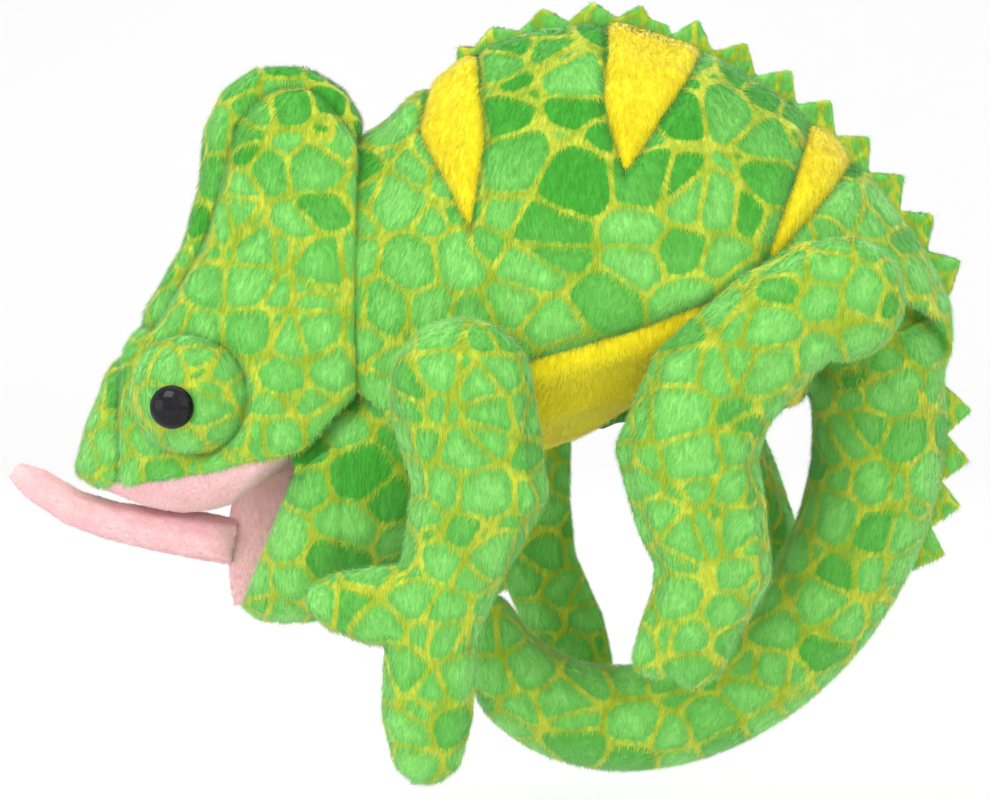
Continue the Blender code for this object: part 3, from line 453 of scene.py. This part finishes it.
def tuft_islands(fur, count):
    """Lays each tuft out in a small square of its own, so that its colour can be baked."""
    across = math.ceil(math.sqrt(count))
    layer = fur.uv_layers.new(name="OFBake")
    corner = np.array([[0.15, 0.15], [0.85, 0.15], [0.5, 0.3], [0.5, 0.85]])
    cell = np.stack([np.arange(count) % across, np.arange(count) // across], 1)
    spots = ((cell[:, None] + corner[None]) / across).reshape(-1, 2)
    vertex = np.empty(len(fur.loops), np.int32)
    fur.loops.foreach_get("vertex_index", vertex)
    layer.data.foreach_set("uv", spots[vertex].astype(np.float32).ravel())


# ---------------------------------------------------------------- materials


class Shader:
    """A Principled material whose nodes are added by short calls."""

    def __init__(self, name, roughness, sheen=0.0):
        self.material = bpy.data.materials.new(name)
        self.material.use_nodes = True
        self.tree = self.material.node_tree
        self.surface = self.tree.nodes["Principled BSDF"]
        self.surface.inputs["Roughness"].default_value = roughness
        self.surface.inputs["Specular IOR Level"].default_value = 0.25
        self.surface.inputs["Sheen Weight"].default_value = sheen
        self.surface.inputs["Sheen Roughness"].default_value = 0.5

    def node(self, kind, settings=(), **inputs):
        node = self.tree.nodes.new(kind)
        for key, value in dict(settings).items():
            setattr(node, key, value)
        for key, value in inputs.items():
            spot = int(key[1:]) if key[0] == "i" and key[1:].isdigit() else key.replace("_", " ")
            if isinstance(value, bpy.types.NodeSocket):
                self.tree.links.new(value, node.inputs[spot])
            else:
                node.inputs[spot].default_value = value
        return node

    def attribute(self, name, output="Vector"):
        return self.node("ShaderNodeAttribute", {"attribute_name": name}).outputs[output]

    def maths(self, operation, a, b=0.0):
        return self.node("ShaderNodeMath", {"operation": operation}, i0=a, i1=b).outputs[0]

    def ramp(self, value, low, high, to_low=0.0, to_high=1.0):
        return self.node("ShaderNodeMapRange", {"interpolation_type": "SMOOTHSTEP"}, Value=value,
                         From_Min=low, From_Max=high, To_Min=to_low, To_Max=to_high).outputs[0]

    def mix(self, share, a, b, blend="MIX"):
        node = self.node("ShaderNodeMix", {"data_type": "RGBA", "blend_type": blend})
        for spot, value in ((0, share), (6, a), (7, b)):
            if isinstance(value, bpy.types.NodeSocket):
                self.tree.links.new(value, node.inputs[spot])
            else:
                node.inputs[spot].default_value = value
        return node.outputs[2]

    def noise(self, vector, scale, detail=2.0, output="Fac"):
        made = self.node("ShaderNodeTexNoise", Vector=vector, Scale=scale, Detail=detail)
        return made.outputs[output]

    def stretched(self, vector, scales):
        return self.node("ShaderNodeMapping", Vector=vector, Scale=scales).outputs[0]

    def colour(self, socket):
        self.tree.links.new(socket, self.surface.inputs["Base Color"])
        return self.material


def nap(shader, colour, pelt, strength=0.22):
    """Streaks along the nap, each strand's own tone, and painted light along each tuft: a painted
    sheen on the tips over painted shade at the roots.
    """
    parts = shader.node("ShaderNodeSeparateXYZ", Vector=shader.attribute("strand"))
    tone, tip = parts.outputs[0], parts.outputs[1]
    streak = shader.noise(shader.stretched(pelt, (1.0, 1.0, 0.14)), 1500.0, 3.0)
    light = shader.maths("MULTIPLY", shader.maths("SUBTRACT", streak, 0.5), 2.2 * strength)
    own = shader.maths("MULTIPLY", shader.maths("SUBTRACT", tone, 0.5), strength)
    light = shader.maths("ADD", light, own)
    # painted light: tips painted paler as sheen, roots painted darker as shade among the tufts
    light = shader.maths("ADD", light, shader.ramp(tip, 0.2, 1.0, -0.10, 0.14))
    pressed = shader.maths("MULTIPLY", shader.attribute("seam", "Fac"), 0.45)
    light = shader.maths("SUBTRACT", light, pressed)
    gain = shader.maths("ADD", light, 1.0)
    scaled = shader.node("ShaderNodeVectorMath", {"operation": "SCALE"}, Vector=colour, Scale=gain)
    return scaled.outputs[0]


def green_plush():
    """Green scales, some darker, on a net of soft olive-yellow lines."""
    shader = Shader("green_scale_plush", 0.9, 0.25)
    pelt = shader.attribute("pelt")
    printed = shader.node("ShaderNodeSeparateXYZ", Vector=shader.attribute("print"))
    edge = shader.maths("ADD", printed.outputs[0], shader.maths(
        "MULTIPLY", shader.maths("SUBTRACT", shader.noise(pelt, 500.0, 2.0), 0.5), 0.7))
    depth = shader.attribute("depth", "Fac")
    shade = shader.ramp(shader.maths("ADD", printed.outputs[1], depth), 0.5, 1.15)
    light_cell, dark_cell = GREEN_CELLS
    body = shader.mix(shade, light_cell, dark_cell)
    body = shader.mix(shader.ramp(edge, 1.2, 4.5, 0.42, 0.0), body, dark_cell)
    patchy = shader.ramp(shader.noise(pelt, 130.0, 2.0), 0.35, 0.65)
    line = shader.mix(patchy, LINE_OLIVE, LINE_YELLOW)
    colour = shader.mix(shader.ramp(edge, 0.35, 1.15), line, body)
    return shader.colour(nap(shader, colour, pelt))


def plain_plush(name, light, deep, sheen=0.3, strength=0.16, blotch=70.0):
    """Plush of one colour, slightly uneven."""
    shader = Shader(name, 0.92, sheen)
    pelt = shader.attribute("pelt")
    colour = shader.mix(shader.ramp(shader.noise(pelt, blotch, 3.0), 0.32, 0.68), deep, light)
    return shader.colour(nap(shader, colour, pelt, strength))


def knitted(name, light, deep):
    """Smooth knit: fine ribs crossed by short loops."""
    shader = Shader(name, 0.8, 0.1)
    place = shader.node("ShaderNodeTexCoord").outputs["Object"]
    rib = shader.node("ShaderNodeTexWave", {"bands_direction": "X"}, Vector=place, Scale=160.0,
                      Distortion=1.5, Detail=1.0).outputs["Fac"]
    loop = shader.node("ShaderNodeTexWave", {"bands_direction": "Z"}, Vector=place, Scale=110.0,
                       Distortion=2.0, Detail=1.0).outputs["Fac"]
    share = shader.maths("MULTIPLY", rib, loop)
    return shader.colour(shader.mix(share, deep, light))


def eye_gloss():
    """Moulded black plastic with faint mould haze."""
    shader = Shader("eye_gloss", 0.13)
    place = shader.node("ShaderNodeTexCoord").outputs["Object"]
    haze = shader.ramp(shader.noise(place, 400.0, 3.0), 0.3, 0.8)
    return shader.colour(shader.mix(haze, (0.003, 0.003, 0.004, 1.0), (0.010, 0.010, 0.013, 1.0)))


GREEN_CELLS = ((0.25, 0.72, 0.145, 1.0), (0.055, 0.39, 0.028, 1.0))
LINE_OLIVE = (0.34, 0.50, 0.025, 1.0)
LINE_YELLOW = (0.60, 0.68, 0.05, 1.0)
GREEN = green_plush()
YELLOW = plain_plush("yellow_plush", (0.95, 0.80, 0.010, 1.0), (0.88, 0.70, 0.006, 1.0))
PINK = plain_plush("pink_plush", (0.97, 0.60, 0.61, 1.0), (0.95, 0.52, 0.54, 1.0), blotch=140.0)
LINING = knitted("green_knit", (0.05, 0.30, 0.04, 1.0), (0.02, 0.16, 0.02, 1.0))
EYE = eye_gloss()


# ---------------------------------------------------------------- shared making of a plush piece

pieces = []


def dress(skin, material, mover, nodes=(), density=1.6, length=3.1 * MM, width=0.26 * MM,
          lean=0.34, comb=COMB, dark=None, scale=SCALE_SIZE):
    """Material, pile and motion of one plush skin, and the hiding of the frame's nodes under it."""
    scale = scale if material == GREEN else None
    finish_skin(skin, material, dark, scale)
    seed = len(pieces) + 11
    pieces.append(skin.name)
    fur = pile(skin, f"{skin.name}_pile", density, length, width, lean, seed, comb, dark, scale)
    for obj in (skin, fur):
        mover(obj)
    if nodes:
        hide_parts(*nodes)
    return skin


def riding(body):
    """Moves a piece with one body."""
    return lambda obj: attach(obj, body)


def blended(first, second, start, end):
    """Bakes a piece's placement into its mesh; first, second, start and end are not used."""
    return lambda obj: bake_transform(obj)


def even_dark(amount):
    """The same darkness over a whole piece."""
    return lambda points: np.full(len(points), amount)


def body_dark(points):
    """Darker scales along the back, the casque and the neck."""
    return 0.66 * np.clip((points[:, 2] - 50 * MM) / (60 * MM), 0, 1) - 0.10


# ---------------------------------------------------------------- torso

neck = PIVOT["head"]
NECK_BLEND = blended("torso", "head", neck + Vector((14 * MM, 0, 0)),
                     neck + Vector((-3 * MM, 0, 0)))

inserts = [f"yellow_insert_{side}_{n}" for side in SIDES for n in (1, 2, 3)]
torso_nodes = ["body_panel_left", "body_panel_right", "belly_panel", *inserts, "opening_hem",
               "neck_sleeve", "body_padding_left", "body_padding_right", "glove_lining"]


def tail_radius(part):
    """Half the depth of one length of the tail's skin."""
    low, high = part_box(f"tail_skin_{part}")
    return (high.y - low.y) / 2


def tuck_neck(mesh):
    """Draws the neck's open edge forwards, so that it is tucked into the back of the head."""
    points = coordinates(mesh)
    share = np.clip((neck.x + 6 * MM - points[:, 0]) / (10 * MM), 0, 1)
    points[:, 0] -= 5 * MM * share
    set_coordinates(mesh, points)


def make_torso():
    """One skin round the body, cut into its panels along the seams."""
    padding = {f"body_padding_{side}": 1.3 * MM for side in SIDES}
    rump = (PIVOT["tail_base"], tail_radius("base") + 2.2 * MM, 1.0)
    skin = remeshed("torso_skin", torso_nodes, grow_of=padding, balls=[rump])
    tuck_neck(skin.data)
    groups = [["body_panel_left", "neck_sleeve"], ["body_panel_right", "neck_sleeve"],
              ["belly_panel"], ["opening_hem", "glove_lining"]] + [[name] for name in inserts]
    labels = sew(skin, groups, halves=True)
    names = ["body_skin_left", "body_skin_right", "belly_skin", "opening_skin"]
    names += [f"{name}_skin" for name in inserts]
    panels = cut_apart(skin, face_majority(skin.data, labels), names)
    for n, side in enumerate(SIDES):
        dress(panels[n], GREEN, NECK_BLEND,
              [f"body_panel_{side}", f"body_padding_{side}"], dark=body_dark)
    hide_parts("neck_sleeve")
    dress(panels[2], YELLOW, NECK_BLEND, ["belly_panel"])
    panels[3].data.materials.append(LINING)
    panels[3].data.shade_smooth()
    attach(panels[3], "torso")
    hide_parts("opening_hem", "glove_lining")
    for panel, node in zip(panels[4:], inserts):
        dress(panel, YELLOW, riding("torso"), [node])


# ---------------------------------------------------------------- head

head_skins = ["head_panel_left", "head_panel_right", "casque_gusset", "snout_cap",
              "eye_patch_left", "eye_patch_right"]
head_nodes = head_skins + ["head_stuffing", "upper_mouth_plate", "finger_pocket"]


def head_dark_and_eye_shade(points):
    """Darker scales up the casque, and painted shade close round the eyes."""
    low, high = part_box("safety_eye_left")
    centre, radius = (low + high) / 2, (high.x - low.x) / 2
    away = np.hypot(points[:, 0] - centre.x, points[:, 2] - centre.z)
    # the darker ring round each eye is painted shade of the eye's rim
    return body_dark(points) + 0.9 * np.exp(-(away / (1.35 * radius)) ** 4)


def make_head():
    """One skin round the head, cut into its panels along the seams."""
    skin = remeshed("head_skin", head_nodes, rounds=16)
    labels = sew(skin, [[name] for name in head_skins])
    names = [f"{name}_skin" for name in head_skins]
    panels = cut_apart(skin, face_majority(skin.data, labels), names)
    extra = {"head_panel_left": ["head_stuffing", "eye_washer_left"],
             "head_panel_right": ["upper_mouth_plate", "finger_pocket", "eye_washer_right"]}
    for panel, node in zip(panels, head_skins):
        dress(panel, GREEN, riding("head"), [node, *extra.get(node, [])],
              scale=12.5 * MM, dark=head_dark_and_eye_shade if node != "casque_gusset" else even_dark(0.5))


EYE_DEPTH = 0.95                # of the eye's dome, over its radius


def make_eyes():
    """A polished dome with a narrow rolled rim, on each side."""
    for side, sign in SIDES.items():
        low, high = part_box(f"safety_eye_{side}")
        centre = (low + high) / 2
        radius = (high.x - low.x) / 2
        face = high.y if sign > 0 else low.y
        depth = radius * EYE_DEPTH
        # From the back's centre to the dome's top: width over the radius, height over the depth.
        profile = [(0.0, 0.3), (0.55, 0.3), (0.96, 0.36), (1.0, 0.46), (0.985, 0.56)]
        profile += [(math.cos(t), 0.42 + 0.58 * math.sin(t))
                    for t in np.linspace(0.3, math.pi / 2, 14)]
        bm = bmesh.new()
        around = 64
        rows = []
        for wide, out in profile:
            y = face - sign * depth * (1 - out)
            rows.append([bm.verts.new((centre.x + wide * radius * math.cos(math.tau * k / around), y,
                                       centre.z + wide * radius * math.sin(math.tau * k / around)))
                         for k in range(around)])
        join_rings(bm, rows)
        bmesh.ops.remove_doubles(bm, verts=bm.verts, dist=0.01 * MM)
        bmesh.ops.recalc_face_normals(bm, faces=bm.faces)
        mesh = bpy.data.meshes.new(f"eye_dome_{side}")
        bm.to_mesh(mesh)
        bm.free()
        mesh.materials.append(EYE)
        mesh.shade_smooth()
        dome = link(f"eye_dome_{side}", mesh)
        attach(dome, "head")
        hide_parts(f"safety_eye_{side}")


# ---------------------------------------------------------------- mouth

PALATE_ANGLE, JAW_ANGLE = math.radians(12.5), math.radians(68.0)    # the lips' slopes, below level
LINING_THICKNESS = 1.6 * MM
LIP_DEPTH = -2.4 * MM           # the lining's edge is tucked this far behind the lip
palate_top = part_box("palate_lining")[1]
# Where the two lip lines would cross, from the top of the palate lining and its slope.
corner = Vector((palate_top.x, 0.0, palate_top.z - LINING_THICKNESS * math.cos(PALATE_ANGLE)))


def lip_point(angle, along, depth, inward):
    """A point of a lip's plane: along from the mouth corner, depth into the mouth."""
    forward = Vector((-math.cos(angle), 0.0, -math.sin(angle)))
    into = Vector((forward.z, 0.0, -forward.x)) * inward
    return corner + forward * along + into * depth


def make_mouth():
    """One pink lining, padded towards the tongue, folded at the mouth's corner."""
    # The middle of the lining: distance along each lip and depth off its plane, in millimetres.
    palate = [(65.0, 0.6), (54.0, 8.0), (43.0, 12.6), (33.0, 13.8), (26.0, 13.2)]
    jaw = [(24.0, 14.4), (33.4, 12.6), (42.7, 9.0), (51.9, 4.8), (58.5, 0.8)]
    middle = [lip_point(PALATE_ANGLE, a * MM, d * MM, -1.0) for a, d in palate]
    middle += [lip_point(JAW_ANGLE, a * MM, d * MM, 1.0) for a, d in jaw]
    upper = node_tree(["head_panel_left", "head_panel_right", "snout_cap"])
    lower = node_tree(["jaw_skin"])
    edges, widths = [], []
    # The lining's edge: distances along each lip, in millimetres.
    for angle, stations, tree, inward in ((PALATE_ANGLE, (66, 52, 37, 22, 3), upper, -1.0),
                                          (JAW_ANGLE, (3, 20, 33, 46, 57), lower, 1.0)):
        for along in stations:
            spot = lip_point(angle, along * MM, LIP_DEPTH, inward)
            hit = tree.ray_cast(Vector((spot.x, -0.1, spot.z)), Vector((0, 1, 0)))
            edges.append(spot)
            widths.append(abs(hit[0].y) - 0.7 * MM if hit[0] else 1.0 * MM)
    edges[0] = lip_point(PALATE_ANGLE, 68 * MM, -4 * MM, -1.0)     # the front goes up into the snout
    around, across = 72, 36
    keys = np.linspace(0, 1, len(middle))
    spots = np.linspace(0, 1, around)
    inner = np.stack([smooth_curve(keys, [p[k] for p in middle], spots) for k in (0, 2)], 1)
    outer = np.stack([smooth_curve(keys, [p[k] for p in edges], spots) for k in (0, 2)], 1)
    wide = smooth_curve(keys, widths, spots)
    bm = bmesh.new()
    rows = []
    for i in range(around):
        row = []
        for t in np.linspace(-1, 1, across):
            share = (1 - abs(t) ** 2.4) ** 0.75
            place = outer[i] * (1 - share) + inner[i] * share
            row.append(bm.verts.new((place[0], wide[i] * t, place[1])))
        rows.append(row)
    for row, following in zip(rows, rows[1:]):
        for k in range(across - 1):
            bm.faces.new((row[k], row[k + 1], following[k + 1], following[k]))
    bmesh.ops.recalc_face_normals(bm, faces=bm.faces)
    mesh = bpy.data.meshes.new("mouth_lining")
    bm.to_mesh(mesh)
    bm.free()
    if sum(vertex.normal.x for vertex in mesh.vertices) > 0:
        mesh.flip_normals()
    lining = link("mouth_lining", mesh)
    half_way = (PALATE_ANGLE + JAW_ANGLE) / 2
    fold = corner + Vector((-math.cos(half_way), 0, -math.sin(half_way))) * 20 * MM
    across_fold = Vector((math.sin(half_way), 0, -math.cos(half_way))) * 9 * MM
    mover = blended("head", "lower_jaw", fold - across_fold, fold + across_fold)
    dress(lining, PINK, mover, ["palate_lining", "jaw_lining", "lower_mouth_plate"],
          density=3.2, length=1.3 * MM, width=0.3 * MM, lean=0.5)


def make_jaw():
    """The lower jaw's skin, round its plate and the thumb's pocket."""
    skin = remeshed("jaw_cloth", ["jaw_skin", "lower_mouth_plate", "thumb_pocket"],
                    voxel=1.2 * MM, rounds=10)
    dress(skin, GREEN, riding("lower_jaw"), ["jaw_skin", "thumb_pocket"],
          length=2.8 * MM)


THROAT_SPLIT = 25 * MM          # behind the jaw's hinge: where the fold's two panels meet


def make_throat():
    """The throat's loose fold, over the back of the jaw and inside the head and the body."""
    hinge = PIVOT["lower_jaw"]
    jaw_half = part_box("jaw_skin")[1].y
    # Sections: millimetres behind the jaw's hinge, above it and below it, and width over the jaw's.
    sections = ((-3, 4, 5, 0.86), (3, 12, 40, 0.9), (9, 18, 48, 0.94), (14, 23, 50, 1.0),
                (20, 27, 49, 1.04), (28, 31, 45, 1.04), (38, 35, 37, 1.0), (48, 37, 27, 0.9))
    keys = np.array([row[0] for row in sections], float)
    spots = np.linspace(keys[0], keys[-1], 44)
    share = np.linspace(0, 1, len(spots))
    stations = (keys - keys[0]) / (keys[-1] - keys[0])
    top, bottom, wide = (smooth_curve(stations, [row[k] for row in sections], share)
                         for k in (1, 2, 3))
    around = 120
    bm = bmesh.new()
    rows = []
    for x, up, down, half in zip(spots, top, bottom, wide):
        row = []
        for k in range(around):
            angle = math.tau * k / around
            across = math.copysign(abs(math.sin(angle)) ** 0.8, math.sin(angle))
            rise = math.copysign(abs(math.cos(angle)) ** 0.9, math.cos(angle))
            height = (up - down) / 2 + (up + down) / 2 * rise
            row.append(bm.verts.new((hinge.x + x * MM, jaw_half * half * across,
                                     hinge.z + height * MM)))
        rows.append(row)
    mesh = capped(bm, rows, "throat")
    skin = link("throat", mesh)
    split = hinge.x + THROAT_SPLIT
    labels = np.array([polygon.center.x > split for polygon in mesh.polygons], np.int32)
    front, rear = cut_apart(skin, labels, ["throat_front", "throat_rear"])
    place = Vector((split, 0, hinge.z))
    for panel, bodies, start, end in ((front, ("head", "lower_jaw"), -4 * MM, -16 * MM),
                                      (rear, ("torso", "head"), 16 * MM, 2 * MM)):
        mover = blended(*bodies, place + Vector((start, 0, 0)), place + Vector((end, 0, 0)))
        # the throat is painted a little darker: painted shade under the jaw and the head
        dress(panel, GREEN, mover, dark=even_dark(0.15))


def make_tongue():
    """The stuffed tongue, narrowed at its root so that the root stays inside the lining."""
    skin = remeshed("tongue", ["tongue_skin", "tongue_stuffing"], voxel=0.9 * MM, rounds=14)
    root = PIVOT["tongue"]
    points = coordinates(skin.data)
    tuck = np.clip((points[:, 0] - root.x + 7 * MM) / (7 * MM), 0, 1)
    points[:, 1] *= 1 - 0.45 * tuck ** 2
    set_coordinates(skin.data, points)
    mover = blended("lower_jaw", "tongue", root + Vector((3 * MM, 0, 0)),
                    root + Vector((-9 * MM, 0, 0)))
    dress(skin, PINK, mover, ["tongue_skin", "tongue_stuffing"], density=3.0,
          length=1.3 * MM, width=0.3 * MM, lean=0.45, comb=Vector((-1, 0, 0.2)))


# ---------------------------------------------------------------- legs and tail

LEG_TOPS = {"front": 22 * MM, "hind": 19 * MM}     # radius of the rounded top of a leg


def make_legs():
    """Each leg in one skin, with a rounded top over its shoulder or hip."""
    for end in ("front", "hind"):
        for side in SIDES:
            nodes = [f"{end}_leg_skin_{side}", f"{end}_leg_stuffing_{side}"]
            top = (PIVOT[f"{end}_leg_{side}"], LEG_TOPS[end], 0.72)
            skin = remeshed(f"{end}_leg_{side}", nodes, voxel=1.2 * MM, rounds=36, balls=[top])
            dress(skin, GREEN, riding(f"{end}_leg_{side}"), nodes,
                  scale=12.8 * MM, dark=even_dark(-0.1))


TAIL_SWEEP = np.linspace(40, -130, 341)     # degrees round the curl's centre, root to tip
TAIL_PUFF = 0.7 * MM            # how far the plush stands over the frame's tail
TAIL_BEND = 14 * MM             # how far before and after a joint the tail's movers are given; they bend nothing


def tail_line(parts):
    """The tail's centre line and radius round the centre of its curl, read off the frame's solids."""
    a, b, c = (PIVOT[f"tail_{part}"].xz for part in parts)
    middle = np.linalg.solve(2 * np.array([b - a, c - a]),
                             [b.dot(b) - a.dot(a), c.dot(c) - a.dot(a)])
    tree = node_tree([f"tail_skin_{part}" for part in parts])
    reach = 250 * MM
    angles, radii, halves = [], [], []
    for angle in np.radians(TAIL_SWEEP):
        way = Vector((math.cos(angle), 0, math.sin(angle)))
        start = Vector((middle[0], 0, middle[1]))
        inner = tree.ray_cast(start, way, reach)[3]
        outer = tree.ray_cast(start + way * reach, -way, reach)[3]
        if inner is None or outer is None:
            continue
        angles.append(angle)
        radii.append((inner + reach - outer) / 2)
        halves.append((reach - outer - inner) / 2)
    angles, radii, halves = map(np.array, (angles, radii, halves))
    spots = middle + radii[:, None] * np.stack([np.cos(angles), np.sin(angles)], 1)
    # The curves are fitted to full sections only, clear of the rounded tip and the joints' gaps.
    whole = halves > 0.93 * np.median(halves)
    for joint in (b, c):
        whole &= np.linalg.norm(spots - np.array(joint), axis=1) > 15 * MM
    share = (angles - angles.mean()) / np.ptp(angles)
    fits = [np.polynomial.Polynomial.fit(share[whole], values[whole], 4)
            for values in (radii, halves)]
    return middle, angles, [fit(share) for fit in fits]


def make_tail():
    """One swept curl with a round tip, cut half way between its joints into three lengths."""
    parts = ("base", "middle", "tip")
    middle, angles, (radii, halves) = tail_line(parts)
    around = 72
    steps = np.abs(np.diff(angles)) * (radii[1:] + radii[:-1]) / 2
    length = np.concatenate([[0], np.cumsum(steps)])
    tip = halves[-1] * 0.95
    end = np.clip((length - (length[-1] - tip)) / tip, 0, 1)
    bm = bmesh.new()
    rows = []
    for angle, radius, half, taper in zip(angles, radii, halves, np.sqrt(1 - end ** 2)):
        half = max((half + TAIL_PUFF) * taper, 0.4 * MM)
        row = []
        for turn in np.linspace(0, math.tau, around, endpoint=False):
            out = radius + half * math.cos(turn)
            row.append(bm.verts.new((middle[0] + out * math.cos(angle), half * math.sin(turn),
                                     middle[1] + out * math.sin(angle))))
        rows.append(row)
    mesh = capped(bm, rows, "tail")
    skin = link("tail", mesh)
    first, second, third = (PIVOT[f"tail_{part}"] for part in parts)
    centres = np.empty(len(mesh.polygons) * 3)
    mesh.polygons.foreach_get("center", centres)
    centres = centres.reshape(-1, 3)
    labels = np.zeros(len(centres), np.int32)
    for a, b in ((first, second), (second, third)):
        labels += ((centres - np.array((a + b) / 2)) @ np.array(b - a) > 0).astype(np.int32)
    panels = cut_apart(skin, labels, [f"tail_cloth_{part}" for part in parts])
    movers = [riding("tail_base"), joint_blend("tail_base", "tail_middle", first, second, third),
              joint_blend("tail_middle", "tail_tip", second, third, third + (third - second))]
    for panel, mover, part in zip(panels, movers, parts):
        dress(panel, GREEN, mover, [f"tail_skin_{part}", f"tail_stuffing_{part}"],
              scale=14.5 * MM, dark=even_dark(-0.05))


def joint_blend(a, b, before, pivot, after):
    """The placement of fabric at a joint of the tail, baked in as blended does; nothing bends."""
    way = ((pivot - before).normalized() + (after - pivot).normalized()).normalized()
    return blended(a, b, pivot - way * TAIL_BEND, pivot + way * TAIL_BEND)


def lower_spikes(mesh):
    """Spikes grow from low bumps at the neck to full height over the rump."""
    tree = node_tree(["body_panel_left", "body_panel_right"])
    points = coordinates(mesh)
    low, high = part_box("dorsal_crest")
    share = np.clip((points[:, 0] - low.x) / (0.62 * (high.x - low.x)), 0, 1)
    for point, keep in zip(points, 0.45 + 0.55 * share):
        base = np.array(tree.find_nearest(Vector(point))[0])
        point[:] = base + (point - base) * keep
    set_coordinates(mesh, points)


def make_crests():
    """The folded spikes along the back and down the tail's root."""
    for name, mover in (("dorsal_crest", riding("torso")), ("tail_crest", riding("tail_base"))):
        skin = remeshed(f"{name}_cloth", [name], voxel=0.8 * MM, rounds=12)
        if name == "dorsal_crest":
            lower_spikes(skin.data)
        dress(skin, GREEN, mover, [name], density=2.4, length=2.6 * MM,
              scale=8.5 * MM, lean=0.3, dark=even_dark(-0.3))


# ---------------------------------------------------------------- studio


KEY, FILL, LOW, TOP, WORLD = 4.0, 1.6, 2.2, 2.2, 1.04
FLOOR_DROP = 74 * MM            # clear of the legs and the tail when they swing down
FLOOR_REACH = 6.0
BEND_START, BEND_RADIUS = 1.2, 0.8      # where the paper behind the puppet turns up
WALL_HEIGHT = 4.0
VIEW_WIDTH = 0.330              # what the picture spans at the puppet, in metres
VIEW_X, VIEW_Z = 0.163, 0.128   # the picture's centre, from the lowest corner of the puppet's box
VIEW_TURN, VIEW_RISE = 0.0, 7.0


def make_studio():
    """Pale paper that curves up behind the puppet, four soft lights, an even world and the camera."""
    low, high = map(Vector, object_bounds())
    centre = Vector(((low.x + high.x) / 2, 0.0, (low.z + high.z) / 2))
    floor_mesh = bpy.data.meshes.new("studio_floor")
    level = low.z - FLOOR_DROP
    bm = bmesh.new()
    profile = [(-FLOOR_REACH, level), (BEND_START, level)]
    profile += [(BEND_START + BEND_RADIUS * math.sin(t), level + BEND_RADIUS * (1 - math.cos(t)))
                for t in np.linspace(0.1, math.pi / 2, 12)]
    profile.append((BEND_START + BEND_RADIUS, low.z + WALL_HEIGHT))
    rows = [[bm.verts.new((x, y, z)) for x in (-FLOOR_REACH, FLOOR_REACH)] for y, z in profile]
    for row, following in zip(rows, rows[1:]):
        bm.faces.new((row[0], row[1], following[1], following[0]))
    bm.to_mesh(floor_mesh)
    bm.free()
    floor_mesh.shade_smooth()
    paper = Shader("studio_paper", 0.9)
    place = paper.node("ShaderNodeTexCoord").outputs["Object"]
    floor_mesh.materials.append(paper.colour(paper.mix(
        paper.noise(place, 3.0, 2.0), (0.90, 0.90, 0.90, 1.0), (0.88, 0.88, 0.88, 1.0))))
    floor = link("studio_floor", floor_mesh)

    def area_light(name, direction, distance, across, power):
        lamp = bpy.data.lights.new(name, "AREA")
        lamp.shape = "RECTANGLE"
        lamp.size = lamp.size_y = across
        lamp.energy = power
        holder = bpy.data.objects.new(name, lamp)
        bpy.context.scene.collection.objects.link(holder)
        holder.location = centre + Vector(direction).normalized() * distance
        holder.rotation_euler = (centre - holder.location).to_track_quat("-Z", "Y").to_euler()

    area_light("key", (-0.45, -1.0, 1.0), 1.1, 0.55, KEY)
    area_light("fill", (0.8, -1.0, 0.45), 1.2, 0.8, FILL)
    area_light("low", (-1.0, -0.8, -0.02), 1.2, 0.7, LOW)
    area_light("top", (0.1, 0.25, 1.0), 1.1, 1.0, TOP)
    world = bpy.data.worlds.new("studio")
    world.use_nodes = True
    background = world.node_tree.nodes["Background"]
    background.inputs["Color"].default_value = (1.0, 1.0, 1.0, 1.0)
    background.inputs["Strength"].default_value = WORLD
    bpy.context.scene.world = world

    camera = bpy.data.cameras.new("camera")
    camera.lens = 85.0
    camera.sensor_width = 36.0
    holder = bpy.data.objects.new("camera", camera)
    bpy.context.scene.collection.objects.link(holder)
    aim = Vector((low.x + VIEW_X, 0.0, low.z + VIEW_Z))
    distance = VIEW_WIDTH * camera.lens / camera.sensor_width
    turn, rise = math.radians(VIEW_TURN), math.radians(VIEW_RISE)
    holder.location = aim + distance * Vector((math.sin(turn) * math.cos(rise),
                                               -math.cos(turn) * math.cos(rise), math.sin(rise)))
    holder.rotation_euler = (aim - holder.location).to_track_quat("-Z", "Y").to_euler()
    bpy.context.scene.camera = holder
    bpy.context.scene.view_settings.view_transform = "Standard"


make_torso()
make_head()
make_eyes()
make_mouth()
make_jaw()
make_throat()
make_tongue()
make_legs()
make_tail()
make_crests()
make_studio()
